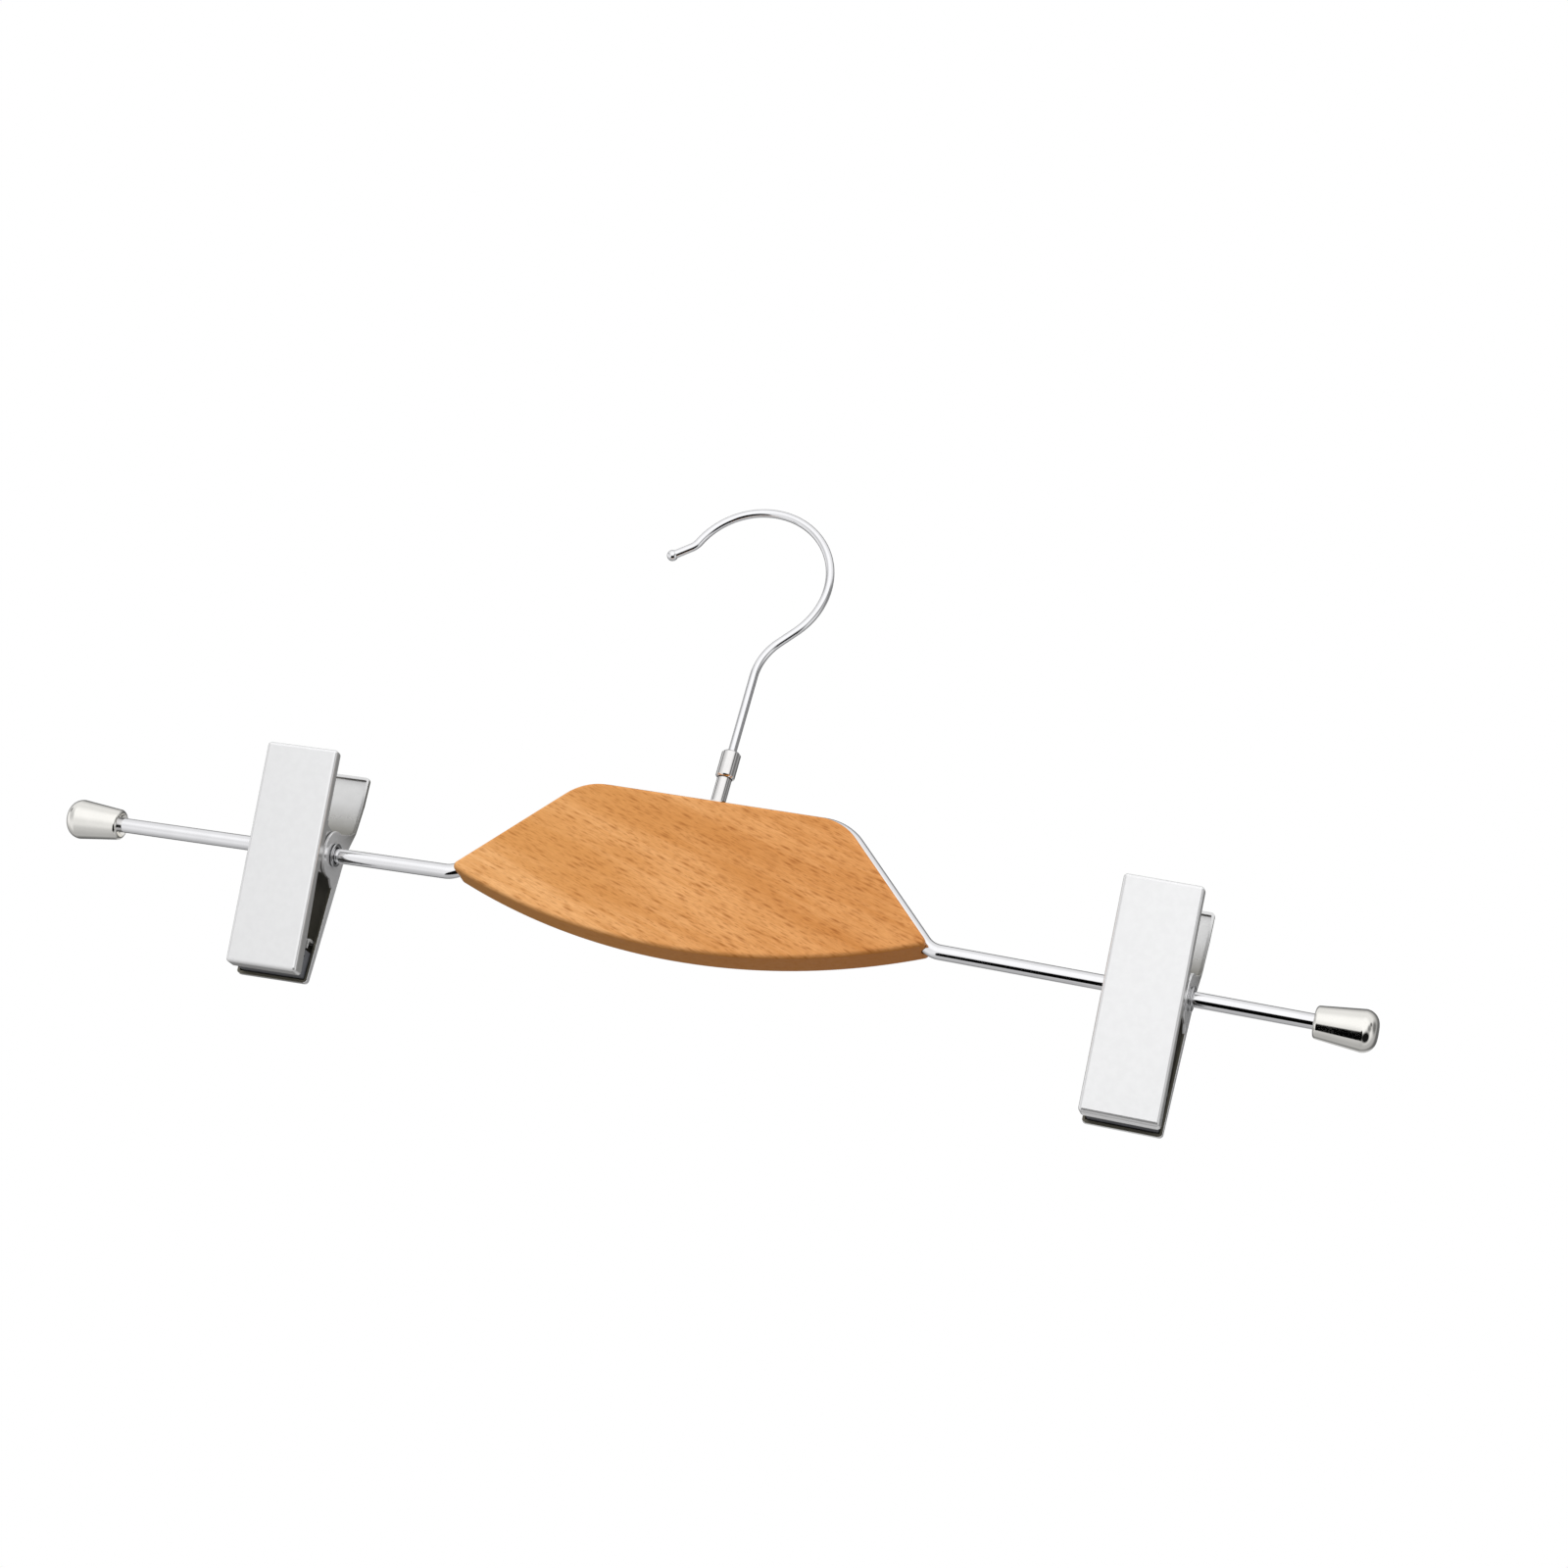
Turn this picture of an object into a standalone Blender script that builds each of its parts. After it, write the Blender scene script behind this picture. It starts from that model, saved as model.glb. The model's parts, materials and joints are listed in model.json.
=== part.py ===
"""Clip hanger with a wooden centre plate, for skirts and trousers.

A plated bar wire lies in a groove along the plate's top and shoulders and runs out
as two slightly drooping arms. A swivel hook turns in a barrel on the bar. On each
arm a spring clip slides and swings: two folded sheet jaws with rubber pads, a
hollow pivot tube that the arm runs through, and a torsion spring.

Metres, +Z up, +X along the bar, the front towards -Y. The origin is the inside of
the hook's crown, where the rail touches it.
"""

import math

import bmesh
import bpy
from mathutils import Matrix, Vector

# Running and seating gap between pieces that touch on the real hanger
GAP = 0.0003
# Extra reach of a cutter past what it cuts
OVERRUN = 0.0040

# Bar wire and arms
OVERALL_LENGTH = 0.3600
BAR_DIAMETER = 0.0040
ARM_DROOP_DEG = 1.2
BAR_TIP_BEND_RADIUS = 0.0070
BAR_SINK = 0.0004
BAR_CORNER_RADIUS = 0.0140

# Wooden plate
PLATE_TOP_WIDTH = 0.0720
PLATE_WIDTH = 0.1320
PLATE_SHOULDER_HEIGHT = 0.0301
PLATE_BELLY = 0.0129
PLATE_THICKNESS = 0.0100
PLATE_CORNER_RADIUS = 0.0150
PLATE_TIP_RADIUS = 0.0015
PLATE_EDGE_RADIUS = 0.0011

# End caps
CAP_LENGTH = 0.0156
CAP_MOUTH_FLARE = 0.0008
CAP_MOUTH_DEPTH = 0.0016
CAP_NECK_WALL = 0.0011
CAP_RIM_RADIUS = 0.0009
CAP_SWELL = 0.0012
CAP_DOME_RADIUS = 0.0036
CAP_END_WALL = 0.0030

# Hook
HOOK_DIAMETER = 0.0023
HOOK_RADIUS = 0.0208
HOOK_OFFSET = 0.0072
HOOK_CENTRE_HEIGHT = 0.0684
HOOK_LEAVE_DEG = -43.0
HOOK_TURN_OUT_DEG = 154.0
HOOK_NECK_RADIUS = 0.0160
HOOK_LIP_RADIUS = 0.0050
HOOK_LIP_LENGTH = 0.0057
HOOK_LIP_DEG = 34.0
HOOK_BALL_DIAMETER = 0.0031
HOOK_HEAD_STEP = 0.0006
HOOK_HEAD_LENGTH = 0.0010

# Swivel barrel and stud
BARREL_LENGTH = 0.0077
BARREL_WALL = 0.00055
BARREL_LIP = 0.0008
BARREL_CHAMFER = 0.0005
STUD_HEIGHT = 0.0082
STUD_SHOULDER = 0.00025
STUD_FOOT_FLARE = 0.0004
STUD_FOOT_HEIGHT = 0.0012
SPIGOT_HEIGHT = 0.0024

# Clip, seen from the side: y to the back, z up, the pivot at 0, 0
JAW_WIDTH = 0.0205
SHEET = 0.0008
JAW_EDGE_RADIUS = 0.0010
FRONT_TOP = 0.0250
FRONT_TIP = 0.0345
FRONT_TOP_DEPTH = 0.0151
FRONT_TIP_DEPTH = 0.0055
FRONT_TOP_FLANGE = 0.0027
FRONT_FLANGE = 0.0026
FRONT_TIP_FLANGE = 0.0042
FRONT_EAR_WALL = 0.0023
FRONT_EAR_ROOT = 0.0068
JOGGLE_START = 0.0031
JOGGLE_END = 0.0040
REAR_TIP = 0.0353
REAR_TIP_DEPTH = 0.0056
REAR_PIVOT_DEPTH = 0.0082
REAR_KNEE_LOW = 0.0025
REAR_KNEE_HIGH = 0.0095
TAB_FOOT_DEPTH = 0.0112
TAB_BULGE_DEPTH = 0.0122
TAB_BULGE_HEIGHT = 0.0180
TAB_TOP_DEPTH = 0.0118
TAB_TOP = 0.0258
TAB_FLANGE = 0.0020
TAB_FOOT_FLANGE = 0.0016
REAR_FLANGE = 0.0036
REAR_TIP_FLANGE = 0.0024
REAR_EAR_WALL = 0.0033
REAR_EAR_SHOULDER = 0.0082

# Pad stop, a tongue bent out of the rear jaw above its pad
TONGUE_WIDTH = 0.0180
TONGUE_TOP = 0.0234
TONGUE_DROP = 0.0028
TONGUE_FRONT = 0.0006

# Pads
PAD_TOP = 0.0268
PAD_EDGE_RADIUS = 0.0004
PAD_GROOVES = 3
PAD_GROOVE_DEPTH = 0.0005
PAD_GROOVE_WIDTH = 0.0006

# Pivot tube
TUBE_WALL = 0.0005
TUBE_FLARE = 0.0005
TUBE_FLARE_THICKNESS = 0.0006

# Torsion spring
SPRING_WIRE = 0.0012
SPRING_COIL_GAP = 0.0007
SPRING_TURNS = 4
SPRING_FRONT_DEG = 210.0
SPRING_REAR_DEG = 340.0
POINTS_PER_CURL = 10

# Rest places of the clips' middles along the arms, from the hanger's ends
LEFT_CLIP_INSET = 0.0690
RIGHT_CLIP_INSET = 0.0570
CLIP_HANG_DEG = 6.0

# Roundness of turned pieces, bends and the plate's long belly
TURNED_SIDES = 24
ARC_STEP_DEG = 9.0
BELLY_STEP_DEG = 2.5
SHARP_DEG = 35.0

# Derived sizes
BAR_RADIUS = BAR_DIAMETER / 2
HOOK_WIRE_RADIUS = HOOK_DIAMETER / 2
SEAT_HEIGHT = PLATE_SHOULDER_HEIGHT + HOOK_CENTRE_HEIGHT + HOOK_RADIUS - HOOK_WIRE_RADIUS
ARM_DROOP = math.radians(ARM_DROOP_DEG)
TUBE_BORE_RADIUS = BAR_RADIUS + GAP
TUBE_RADIUS = TUBE_BORE_RADIUS + TUBE_WALL
TUBE_FLARE_RADIUS = TUBE_RADIUS + TUBE_FLARE
EAR_HOLE_RADIUS = TUBE_RADIUS + GAP
FRONT_EAR_RADIUS = EAR_HOLE_RADIUS + FRONT_EAR_WALL
REAR_EAR_RADIUS = EAR_HOLE_RADIUS + REAR_EAR_WALL
SPRING_RADIUS = TUBE_RADIUS + GAP + SPRING_WIRE / 2 + GAP / 2
SPRING_PITCH = SPRING_WIRE + SPRING_COIL_GAP
HOOK_HEAD_RADIUS = HOOK_WIRE_RADIUS + HOOK_HEAD_STEP
BARREL_BORE_RADIUS = HOOK_HEAD_RADIUS + GAP
BARREL_RADIUS = BARREL_BORE_RADIUS + BARREL_WALL
SPIGOT_RADIUS = BARREL_BORE_RADIUS - GAP
STUD_RADIUS = SPIGOT_RADIUS + STUD_SHOULDER
STEEL = ((0.78, 0.79, 0.81), 0.22, 1.0)
CHROME = ((0.85, 0.86, 0.88), 0.08, 1.0)
NICKEL = ((0.82, 0.81, 0.78), 0.15, 1.0)
BEECH = ((0.72, 0.42, 0.20), 0.42, 0.0)
RUBBER = ((0.05, 0.05, 0.06), 0.75, 0.0)
SPRING_STEEL = ((0.55, 0.55, 0.56), 0.30, 1.0)


def clear_scene():
    for thing in list(bpy.data.objects):
        bpy.data.objects.remove(thing, do_unlink=True)


# Points and outlines

def arc(centre, radius, start_deg, end_deg, step_deg=ARC_STEP_DEG):
    """Points on an arc of the drawing plane, both ends included."""
    count = max(2, math.ceil(abs(end_deg - start_deg) / step_deg))
    points = []
    for i in range(count + 1):
        angle = math.radians(start_deg + (end_deg - start_deg) * i / count)
        points.append(centre + radius * Vector((math.cos(angle), math.sin(angle))))
    return points


def rounded(corners, radii, closed=False):
    """The polyline through the corners, each rounded by its radius."""
    count = len(corners)
    points = []
    for i, corner in enumerate(corners):
        radius = radii[i]
        if radius == 0 or (not closed and i in (0, count - 1)):
            points.append(corner.copy())
            continue
        back = (corners[i - 1] - corner).normalized()
        ahead = (corners[(i + 1) % count] - corner).normalized()
        half = back.angle(ahead) / 2
        centre = corner + (back + ahead).normalized() * (radius / math.sin(half))
        first = corner + back * (radius / math.tan(half)) - centre
        turn = math.pi - 2 * half
        side = 1.0 if back.x * ahead.y - back.y * ahead.x < 0 else -1.0
        steps = max(2, math.ceil(math.degrees(turn) / ARC_STEP_DEG))
        for k in range(steps + 1):
            angle = side * turn * k / steps
            points.append(centre + Matrix.Rotation(angle, 2) @ first)
    return points


def offset_line(points, distance):
    """An open polyline moved sideways by a distance, to the left of its direction."""
    moved = []
    for i, point in enumerate(points):
        before = (point - points[i - 1]).normalized() if i else None
        after = (points[i + 1] - point).normalized() if i + 1 < len(points) else None
        before = before or after
        after = after or before
        normal = Vector((-before.y - after.y, before.x + after.x)).normalized()
        along = Vector((-before.y, before.x))
        moved.append(point + normal * (distance / normal.dot(along)))
    return moved


def depth_on(line, height):
    """The depth of a jaw's outer line, a rising polyline, at a height."""
    for low, high in zip(line, line[1:]):
        if height <= high.y or high is line[-1]:
            return low.x + (high.x - low.x) * (height - low.y) / (high.y - low.y)


# Meshes and objects

def shaded(mesh):
    """The mesh shaded smooth, with its edges above the sharp angle left crisp."""
    mesh.shade_smooth()
    mesh.set_sharp_from_angle(angle=math.radians(SHARP_DEG))
    return mesh


def new_object(name, mesh, look, parent):
    """An object with its own material."""
    thing = bpy.data.objects.new(name, mesh)
    bpy.context.scene.collection.objects.link(thing)
    dress(thing, name, look)
    thing.parent = parent
    return thing


def dress(thing, name, look):
    colour, roughness, metallic = look
    material = bpy.data.materials.new(name)
    material.use_nodes = True
    shader = material.node_tree.nodes["Principled BSDF"]
    shader.inputs["Base Color"].default_value = (*colour, 1.0)
    shader.inputs["Roughness"].default_value = roughness
    shader.inputs["Metallic"].default_value = metallic
    if not thing.data.materials:
        thing.data.materials.append(None)
    thing.material_slots[0].link = "OBJECT"
    thing.material_slots[0].material = material


def finish(bm):
    """The mesh of a bmesh with its faces turned outwards."""
    bmesh.ops.recalc_face_normals(bm, faces=bm.faces)
    mesh = bpy.data.meshes.new("piece")
    bm.to_mesh(mesh)
    bm.free()
    return mesh


def turned(profile, closed=False):
    """A body turned about X from a profile of (x, radius) points."""
    bm = bmesh.new()
    rings = []
    for x, radius in profile:
        if radius == 0:
            rings.append([bm.verts.new((x, 0, 0))])
            continue
        ring = []
        for i in range(TURNED_SIDES):
            angle = 2 * math.pi * i / TURNED_SIDES
            ring.append(bm.verts.new((x, radius * math.cos(angle), radius * math.sin(angle))))
        rings.append(ring)
    pairs = list(zip(rings, rings[1:]))
    if closed:
        pairs.append((rings[-1], rings[0]))
    for first, second in pairs:
        for i in range(TURNED_SIDES):
            j = (i + 1) % TURNED_SIDES
            quad = [first[i % len(first)], first[j % len(first)],
                    second[j % len(second)], second[i % len(second)]]
            bm.faces.new(list(dict.fromkeys(quad)))
    return finish(bm)


def prism(outline, width):
    """A side outline of (y, z) points carried across a width, centred on X."""
    bm = bmesh.new()
    face = bm.faces.new([bm.verts.new((-width / 2, p.x, p.y)) for p in outline])
    carried = bmesh.ops.extrude_face_region(bm, geom=[face])["geom"]
    moved = [v for v in carried if isinstance(v, bmesh.types.BMVert)]
    bmesh.ops.translate(bm, verts=moved, vec=(width, 0, 0))
    bmesh.ops.recalc_face_normals(bm, faces=bm.faces)
    return bm


def boolean(mesh, cutter, operation):
    """The mesh after an exact Boolean with a cutter mesh."""
    thing = bpy.data.objects.new("work", mesh)
    tool = bpy.data.objects.new("tool", cutter)
    for each in (thing, tool):
        bpy.context.scene.collection.objects.link(each)
    modifier = thing.modifiers.new("cut", "BOOLEAN")
    modifier.operation = operation
    modifier.solver = "EXACT"
    modifier.object = tool
    bpy.context.view_layer.update()
    result = bpy.data.meshes.new_from_object(
        thing.evaluated_get(bpy.context.evaluated_depsgraph_get()))
    for each in (thing, tool):
        bpy.data.objects.remove(each, do_unlink=True)
    return result


def tube_curve(name, points, radius, resolution, radii=None):
    """A curve object along points, with a round section and filled ends."""
    curve = bpy.data.curves.new(name, "CURVE")
    curve.dimensions = "3D"
    curve.bevel_depth = radius
    curve.bevel_resolution = resolution
    curve.use_fill_caps = True
    spline = curve.splines.new("POLY")
    spline.points.add(len(points) - 1)
    for i, point in enumerate(points):
        spline.points[i].co = (*point, 1.0)
        spline.points[i].radius = radii[i] / radius if radii else 1.0
    spline.use_smooth = True
    return bpy.data.objects.new(name, curve)


def placed_tube(name, points, radius, resolution, look, parent, radii=None):
    thing = tube_curve(name, points, radius, resolution, radii)
    bpy.context.scene.collection.objects.link(thing)
    dress(thing, name, look)
    thing.parent = parent
    return thing


def tube_mesh(points, radius, resolution):
    """A tube along points as a closed mesh, for cutting."""
    thing = tube_curve("route", points, radius, resolution)
    bpy.context.scene.collection.objects.link(thing)
    bpy.context.view_layer.update()
    mesh = bpy.data.meshes.new_from_object(
        thing.evaluated_get(bpy.context.evaluated_depsgraph_get()))
    bpy.data.objects.remove(thing, do_unlink=True)
    return mesh


def empty(name, location, rotation=(0, 0, 0), parent=None):
    thing = bpy.data.objects.new(name, None)
    thing.location = location
    thing.rotation_euler = rotation
    thing.parent = parent
    bpy.context.scene.collection.objects.link(thing)
    return thing


# Bar wire

def arm_point(side, place):
    """A point of an arm's centre line, place measured outwards from the middle."""
    run = place - PLATE_WIDTH / 2
    return Vector((side * (PLATE_WIDTH / 2 + run * math.cos(ARM_DROOP)), 0,
                   -run * math.sin(ARM_DROOP)))


def bar_points(reach):
    """The bar's centre line from the left end to the right end."""
    top = Vector((PLATE_TOP_WIDTH / 2, PLATE_SHOULDER_HEIGHT))
    tip = Vector((PLATE_WIDTH / 2, 0))
    sunk = offset_line([Vector((0, top.y)), top, tip], -BAR_SINK)
    outer = arm_point(1, reach)
    right = [sunk[1], Vector((tip.x - BAR_SINK, 0)), Vector((outer.x, outer.z))]
    left = [Vector((-p.x, p.y)) for p in right]
    radii = [BAR_CORNER_RADIUS, BAR_TIP_BEND_RADIUS, 0]
    line = rounded(left[::-1] + right, radii[::-1] + radii)
    return [Vector((p.x, 0, p.y)) for p in line]


def make_bar(parent):
    reach = OVERALL_LENGTH / 2 - CAP_END_WALL - GAP
    placed_tube("bar_wire", bar_points(reach), BAR_RADIUS, 4, CHROME, parent)


# Wooden plate

def plate_outline():
    top = Vector((PLATE_TOP_WIDTH / 2, PLATE_SHOULDER_HEIGHT))
    tip = Vector((PLATE_WIDTH / 2, 0))
    corners = [Vector((-tip.x, tip.y)), Vector((-top.x, top.y)), top, tip]
    radii = [PLATE_TIP_RADIUS, PLATE_CORNER_RADIUS, PLATE_CORNER_RADIUS, PLATE_TIP_RADIUS]
    belly_radius = (tip.x ** 2 + PLATE_BELLY ** 2) / (2 * PLATE_BELLY)
    belly_centre = Vector((0, belly_radius - PLATE_BELLY))
    half_deg = math.degrees(math.asin(tip.x / belly_radius))
    belly = arc(belly_centre, belly_radius, -90 + half_deg, -90 - half_deg, BELLY_STEP_DEG)[1:-1]
    return rounded(corners + belly, radii + [0] * len(belly), closed=True)


def make_plate(parent):
    bm = prism(plate_outline(), PLATE_THICKNESS)
    faces = [f for f in bm.faces if len(f.verts) > 4]
    rim = list({e for f in faces for e in f.edges})
    bmesh.ops.bevel(bm, geom=rim, offset=PLATE_EDGE_RADIUS, segments=3, profile=0.5,
                    affect="EDGES")
    bmesh.ops.rotate(bm, verts=bm.verts, matrix=Matrix.Rotation(math.radians(-90), 3, "Z"))
    groove = tube_mesh(bar_points(PLATE_WIDTH / 2 + OVERRUN), BAR_RADIUS + GAP, 4)
    mesh = boolean(finish(bm), groove, "DIFFERENCE")
    new_object("wooden_plate", shaded(mesh), BEECH, parent)


# End caps

def cap_profile():
    """The cap from its inner end out, the bore first, as (x, radius)."""
    bore = BAR_RADIUS + GAP
    mouth = bore + CAP_MOUTH_FLARE
    neck = mouth + CAP_NECK_WALL
    outer = neck + CAP_SWELL
    rim = arc(Vector((CAP_RIM_RADIUS, neck - CAP_RIM_RADIUS)), CAP_RIM_RADIUS, 180, 97)
    dome_x = CAP_LENGTH - CAP_DOME_RADIUS
    dome = arc(Vector((dome_x, outer - CAP_DOME_RADIUS)), CAP_DOME_RADIUS, 90, 12)
    inside = [Vector((CAP_LENGTH - CAP_END_WALL, 0)), Vector((CAP_LENGTH - CAP_END_WALL, bore)),
              Vector((CAP_MOUTH_DEPTH, bore)), Vector((CAP_RIM_RADIUS / 2, mouth)),
              Vector((0, mouth + CAP_RIM_RADIUS / 4))]
    return inside + rim + dome + [Vector((CAP_LENGTH, 0))]


def make_caps(parent):
    for side, name in ((-1, "end_cap_left"), (1, "end_cap_right")):
        mesh = shaded(turned([(p.x, p.y) for p in cap_profile()]))
        cap = new_object(name, mesh, NICKEL, parent)
        cap.location = arm_point(side, OVERALL_LENGTH / 2 - CAP_LENGTH)
        turn = ARM_DROOP if side > 0 else math.pi - ARM_DROOP
        cap.rotation_euler = (0, turn, 0)


# Hook, barrel and stud

def hook_line():
    """The hook's centre line from the head up, round the crown and out to the lip."""
    centre = Vector((-HOOK_OFFSET, PLATE_SHOULDER_HEIGHT + HOOK_CENTRE_HEIGHT))
    leave = math.radians(HOOK_LEAVE_DEG)
    start = centre + HOOK_RADIUS * Vector((math.cos(leave), math.sin(leave)))
    down = Vector((math.sin(leave), -math.cos(leave)))
    neck = start + down * (start.x / -down.x)
    foot = Vector((0, barrel_top() - BARREL_LIP - GAP - HOOK_HEAD_LENGTH))
    stem = rounded([foot, neck, start], [0, HOOK_NECK_RADIUS, 0])
    crown = arc(centre, HOOK_RADIUS, HOOK_LEAVE_DEG, HOOK_TURN_OUT_DEG)
    turn_out = math.radians(HOOK_TURN_OUT_DEG)
    outward = Vector((math.cos(turn_out), math.sin(turn_out)))
    lip_centre = crown[-1] + outward * HOOK_LIP_RADIUS
    lip = arc(lip_centre, HOOK_LIP_RADIUS, HOOK_TURN_OUT_DEG - 180, -90 + HOOK_LIP_DEG)
    ahead = math.radians(180 + HOOK_LIP_DEG)
    end = lip[-1] + HOOK_LIP_LENGTH * Vector((math.cos(ahead), math.sin(ahead)))
    return stem[:-1] + crown + lip[1:], end


def make_hook():
    """One wire with an upset head in the barrel and a formed ball at the lip's end."""
    line, end = hook_line()
    radii = [HOOK_WIRE_RADIUS] * len(line)
    foot = line[0]
    head = [foot, foot + Vector((0, HOOK_HEAD_LENGTH - HOOK_HEAD_STEP)),
            foot + Vector((0, HOOK_HEAD_LENGTH))]
    line = head + line[1:]
    radii = [HOOK_HEAD_RADIUS, HOOK_HEAD_RADIUS, HOOK_WIRE_RADIUS] + radii[1:]
    ball = HOOK_BALL_DIAMETER / 2
    along = (end - line[-1]).normalized()
    opening = math.degrees(math.asin(HOOK_WIRE_RADIUS / ball))
    for point in arc(Vector((0, 0)), ball, 180 - opening, 12):
        line.append(end + along * point.x)
        radii.append(point.y)
    points = [Vector((p.x, 0, p.y)) for p in line]
    hook_axis = empty("hook_swivel_axis", (HOOK_OFFSET, 0, -SEAT_HEIGHT))
    placed_tube("hook", points, HOOK_WIRE_RADIUS, 4, CHROME, hook_axis, radii)


def barrel_foot():
    return PLATE_SHOULDER_HEIGHT + STUD_HEIGHT + GAP


def barrel_top():
    return barrel_foot() + BARREL_LENGTH


def upright(mesh):
    """A body turned about X, stood on Z."""
    mesh.transform(Matrix.Rotation(math.radians(-90), 4, "Y"))
    return mesh


def make_barrel(parent):
    hole = HOOK_WIRE_RADIUS + GAP
    rim = BARREL_RADIUS - BARREL_CHAMFER
    foot = barrel_foot()
    top = barrel_top()
    profile = [(foot, BARREL_BORE_RADIUS), (foot, rim), (foot + BARREL_CHAMFER, BARREL_RADIUS),
               (top - BARREL_CHAMFER, BARREL_RADIUS), (top, rim), (top, hole),
               (top - BARREL_LIP, hole), (top - BARREL_LIP, BARREL_BORE_RADIUS)]
    mesh = shaded(upright(turned(profile, closed=True)))
    new_object("swivel_barrel", mesh, CHROME, parent)


def make_stud(parent):
    """The stud that carries the barrel, its flared foot saddled on the bar wire."""
    foot = PLATE_SHOULDER_HEIGHT + GAP
    shoulder = PLATE_SHOULDER_HEIGHT + STUD_HEIGHT
    flare = STUD_RADIUS + STUD_FOOT_FLARE
    profile = [(foot, 0), (foot, flare), (foot + STUD_FOOT_FLARE, flare),
               (foot + STUD_FOOT_HEIGHT, STUD_RADIUS), (shoulder, STUD_RADIUS),
               (shoulder, SPIGOT_RADIUS), (shoulder + SPIGOT_HEIGHT, SPIGOT_RADIUS),
               (shoulder + SPIGOT_HEIGHT, 0)]
    bar_height = PLATE_SHOULDER_HEIGHT - BAR_SINK
    reach = flare + OVERRUN
    route = [Vector((-reach, 0, bar_height)), Vector((reach, 0, bar_height))]
    saddle = tube_mesh(route, BAR_RADIUS + GAP, 4)
    mesh = boolean(upright(turned(profile)), saddle, "DIFFERENCE")
    new_object("swivel_stud", shaded(mesh), CHROME, parent)


# Clips

def front_line():
    """The front jaw's outer face from tip to top."""
    return [Vector((-FRONT_TIP_DEPTH, -FRONT_TIP)), Vector((-FRONT_TOP_DEPTH, FRONT_TOP))]


def rear_line():
    """The rear jaw's outer face from tip to tab."""
    return [Vector((REAR_TIP_DEPTH, -REAR_TIP)), Vector((REAR_PIVOT_DEPTH, REAR_KNEE_LOW)),
            Vector((TAB_FOOT_DEPTH, REAR_KNEE_HIGH)), Vector((TAB_BULGE_DEPTH, TAB_BULGE_HEIGHT)),
            Vector((TAB_TOP_DEPTH, TAB_TOP))]


def folded_sheet(outline, inner_line, open_depth, edge_line):
    """A tray of folded sheet: a prism with rounded outer edges, hollowed from its open side."""
    bm = prism(outline, JAW_WIDTH)
    on_face = set()
    for vert in bm.verts:
        depth = depth_on(edge_line, vert.co.z)
        if abs(vert.co.y - depth) < SHEET / 4:
            on_face.add(vert)
    edges = [e for e in bm.edges
             if (e.verts[0] in on_face or e.verts[1] in on_face)
             and e.calc_face_angle(0) > math.radians(40)]
    bmesh.ops.bevel(bm, geom=edges, offset=JAW_EDGE_RADIUS, segments=2, profile=0.5,
                    affect="EDGES")
    low = inner_line[0].y + SHEET
    high = inner_line[-1].y - SHEET
    pocket = [Vector((depth_on(inner_line, low), low))]
    pocket += inner_line[1:-1]
    pocket += [Vector((depth_on(inner_line, high), high)), Vector((open_depth, high)),
               Vector((open_depth, low))]
    hollow = prism(pocket, JAW_WIDTH - 2 * SHEET)
    return boolean(finish(bm), finish(hollow), "DIFFERENCE")


def drill_ears(mesh):
    reach = JAW_WIDTH / 2 + OVERRUN
    drill = turned([(-reach, 0), (-reach, EAR_HOLE_RADIUS), (reach, EAR_HOLE_RADIUS), (reach, 0)])
    return boolean(mesh, drill, "DIFFERENCE")


def front_jaw_mesh():
    """The front jaw, whose ears are joggled in to pass inside the rear jaw's ears."""
    line = front_line()
    root_low = Vector((depth_on(line, -FRONT_EAR_ROOT) + FRONT_FLANGE, -FRONT_EAR_ROOT))
    root_high = Vector((depth_on(line, FRONT_EAR_ROOT) + FRONT_FLANGE, FRONT_EAR_ROOT))
    ear = arc(Vector((0, 0)), FRONT_EAR_RADIUS, -80, 80)
    outline = [line[1], line[0], line[0] + Vector((FRONT_TIP_FLANGE, 0)), root_low]
    outline += ear + [root_high, line[1] + Vector((FRONT_TOP_FLANGE, 0))]
    mesh = folded_sheet(outline, offset_line(line, -SHEET), REAR_PIVOT_DEPTH, line)
    mesh = drill_ears(mesh)
    return joggle(mesh, line)


def joggle(mesh, line):
    """Steps the ears inwards by a sheet and a gap between two depths from the face."""
    along = (line[1] - line[0]).normalized()
    inward = Vector((0, along.y, -along.x))
    face = Vector((0, line[0].x, line[0].y))
    bm = bmesh.new()
    bm.from_mesh(mesh)
    for depth in (JOGGLE_START, JOGGLE_END):
        bmesh.ops.bisect_plane(bm, geom=bm.verts[:] + bm.edges[:] + bm.faces[:],
                               plane_co=face + inward * depth, plane_no=inward)
    for vert in bm.verts:
        depth = (vert.co - face).dot(inward)
        if depth > (JOGGLE_START + JOGGLE_END) / 2 and abs(vert.co.z) < 2 * FRONT_EAR_RADIUS:
            vert.co.x -= math.copysign(SHEET + GAP, vert.co.x)
    return finish(bm)


def rear_jaw_mesh():
    """The rear jaw with its outer ears, thumb tab and pad stop."""
    line = rear_line()
    ear = arc(Vector((0, 0)), REAR_EAR_RADIUS, 282, 78)
    low = depth_on(line, -REAR_EAR_SHOULDER) - REAR_FLANGE
    outline = [line[0] - Vector((REAR_TIP_FLANGE, 0)), line[0]] + line[1:]
    outline += [line[4] - Vector((TAB_FLANGE, 0)), line[3] - Vector((TAB_FLANGE, 0)),
                line[2] - Vector((TAB_FOOT_FLANGE, 0)),
                Vector((line[1].x - TAB_FOOT_FLANGE / 2, REAR_EAR_SHOULDER))]
    outline += ear[::-1] + [Vector((low, -REAR_EAR_SHOULDER))]
    mesh = folded_sheet(outline, offset_line(line, SHEET), -REAR_EAR_RADIUS - OVERRUN, line)
    mesh = boolean(mesh, pad_stop(line), "UNION")
    return drill_ears(mesh)


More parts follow.
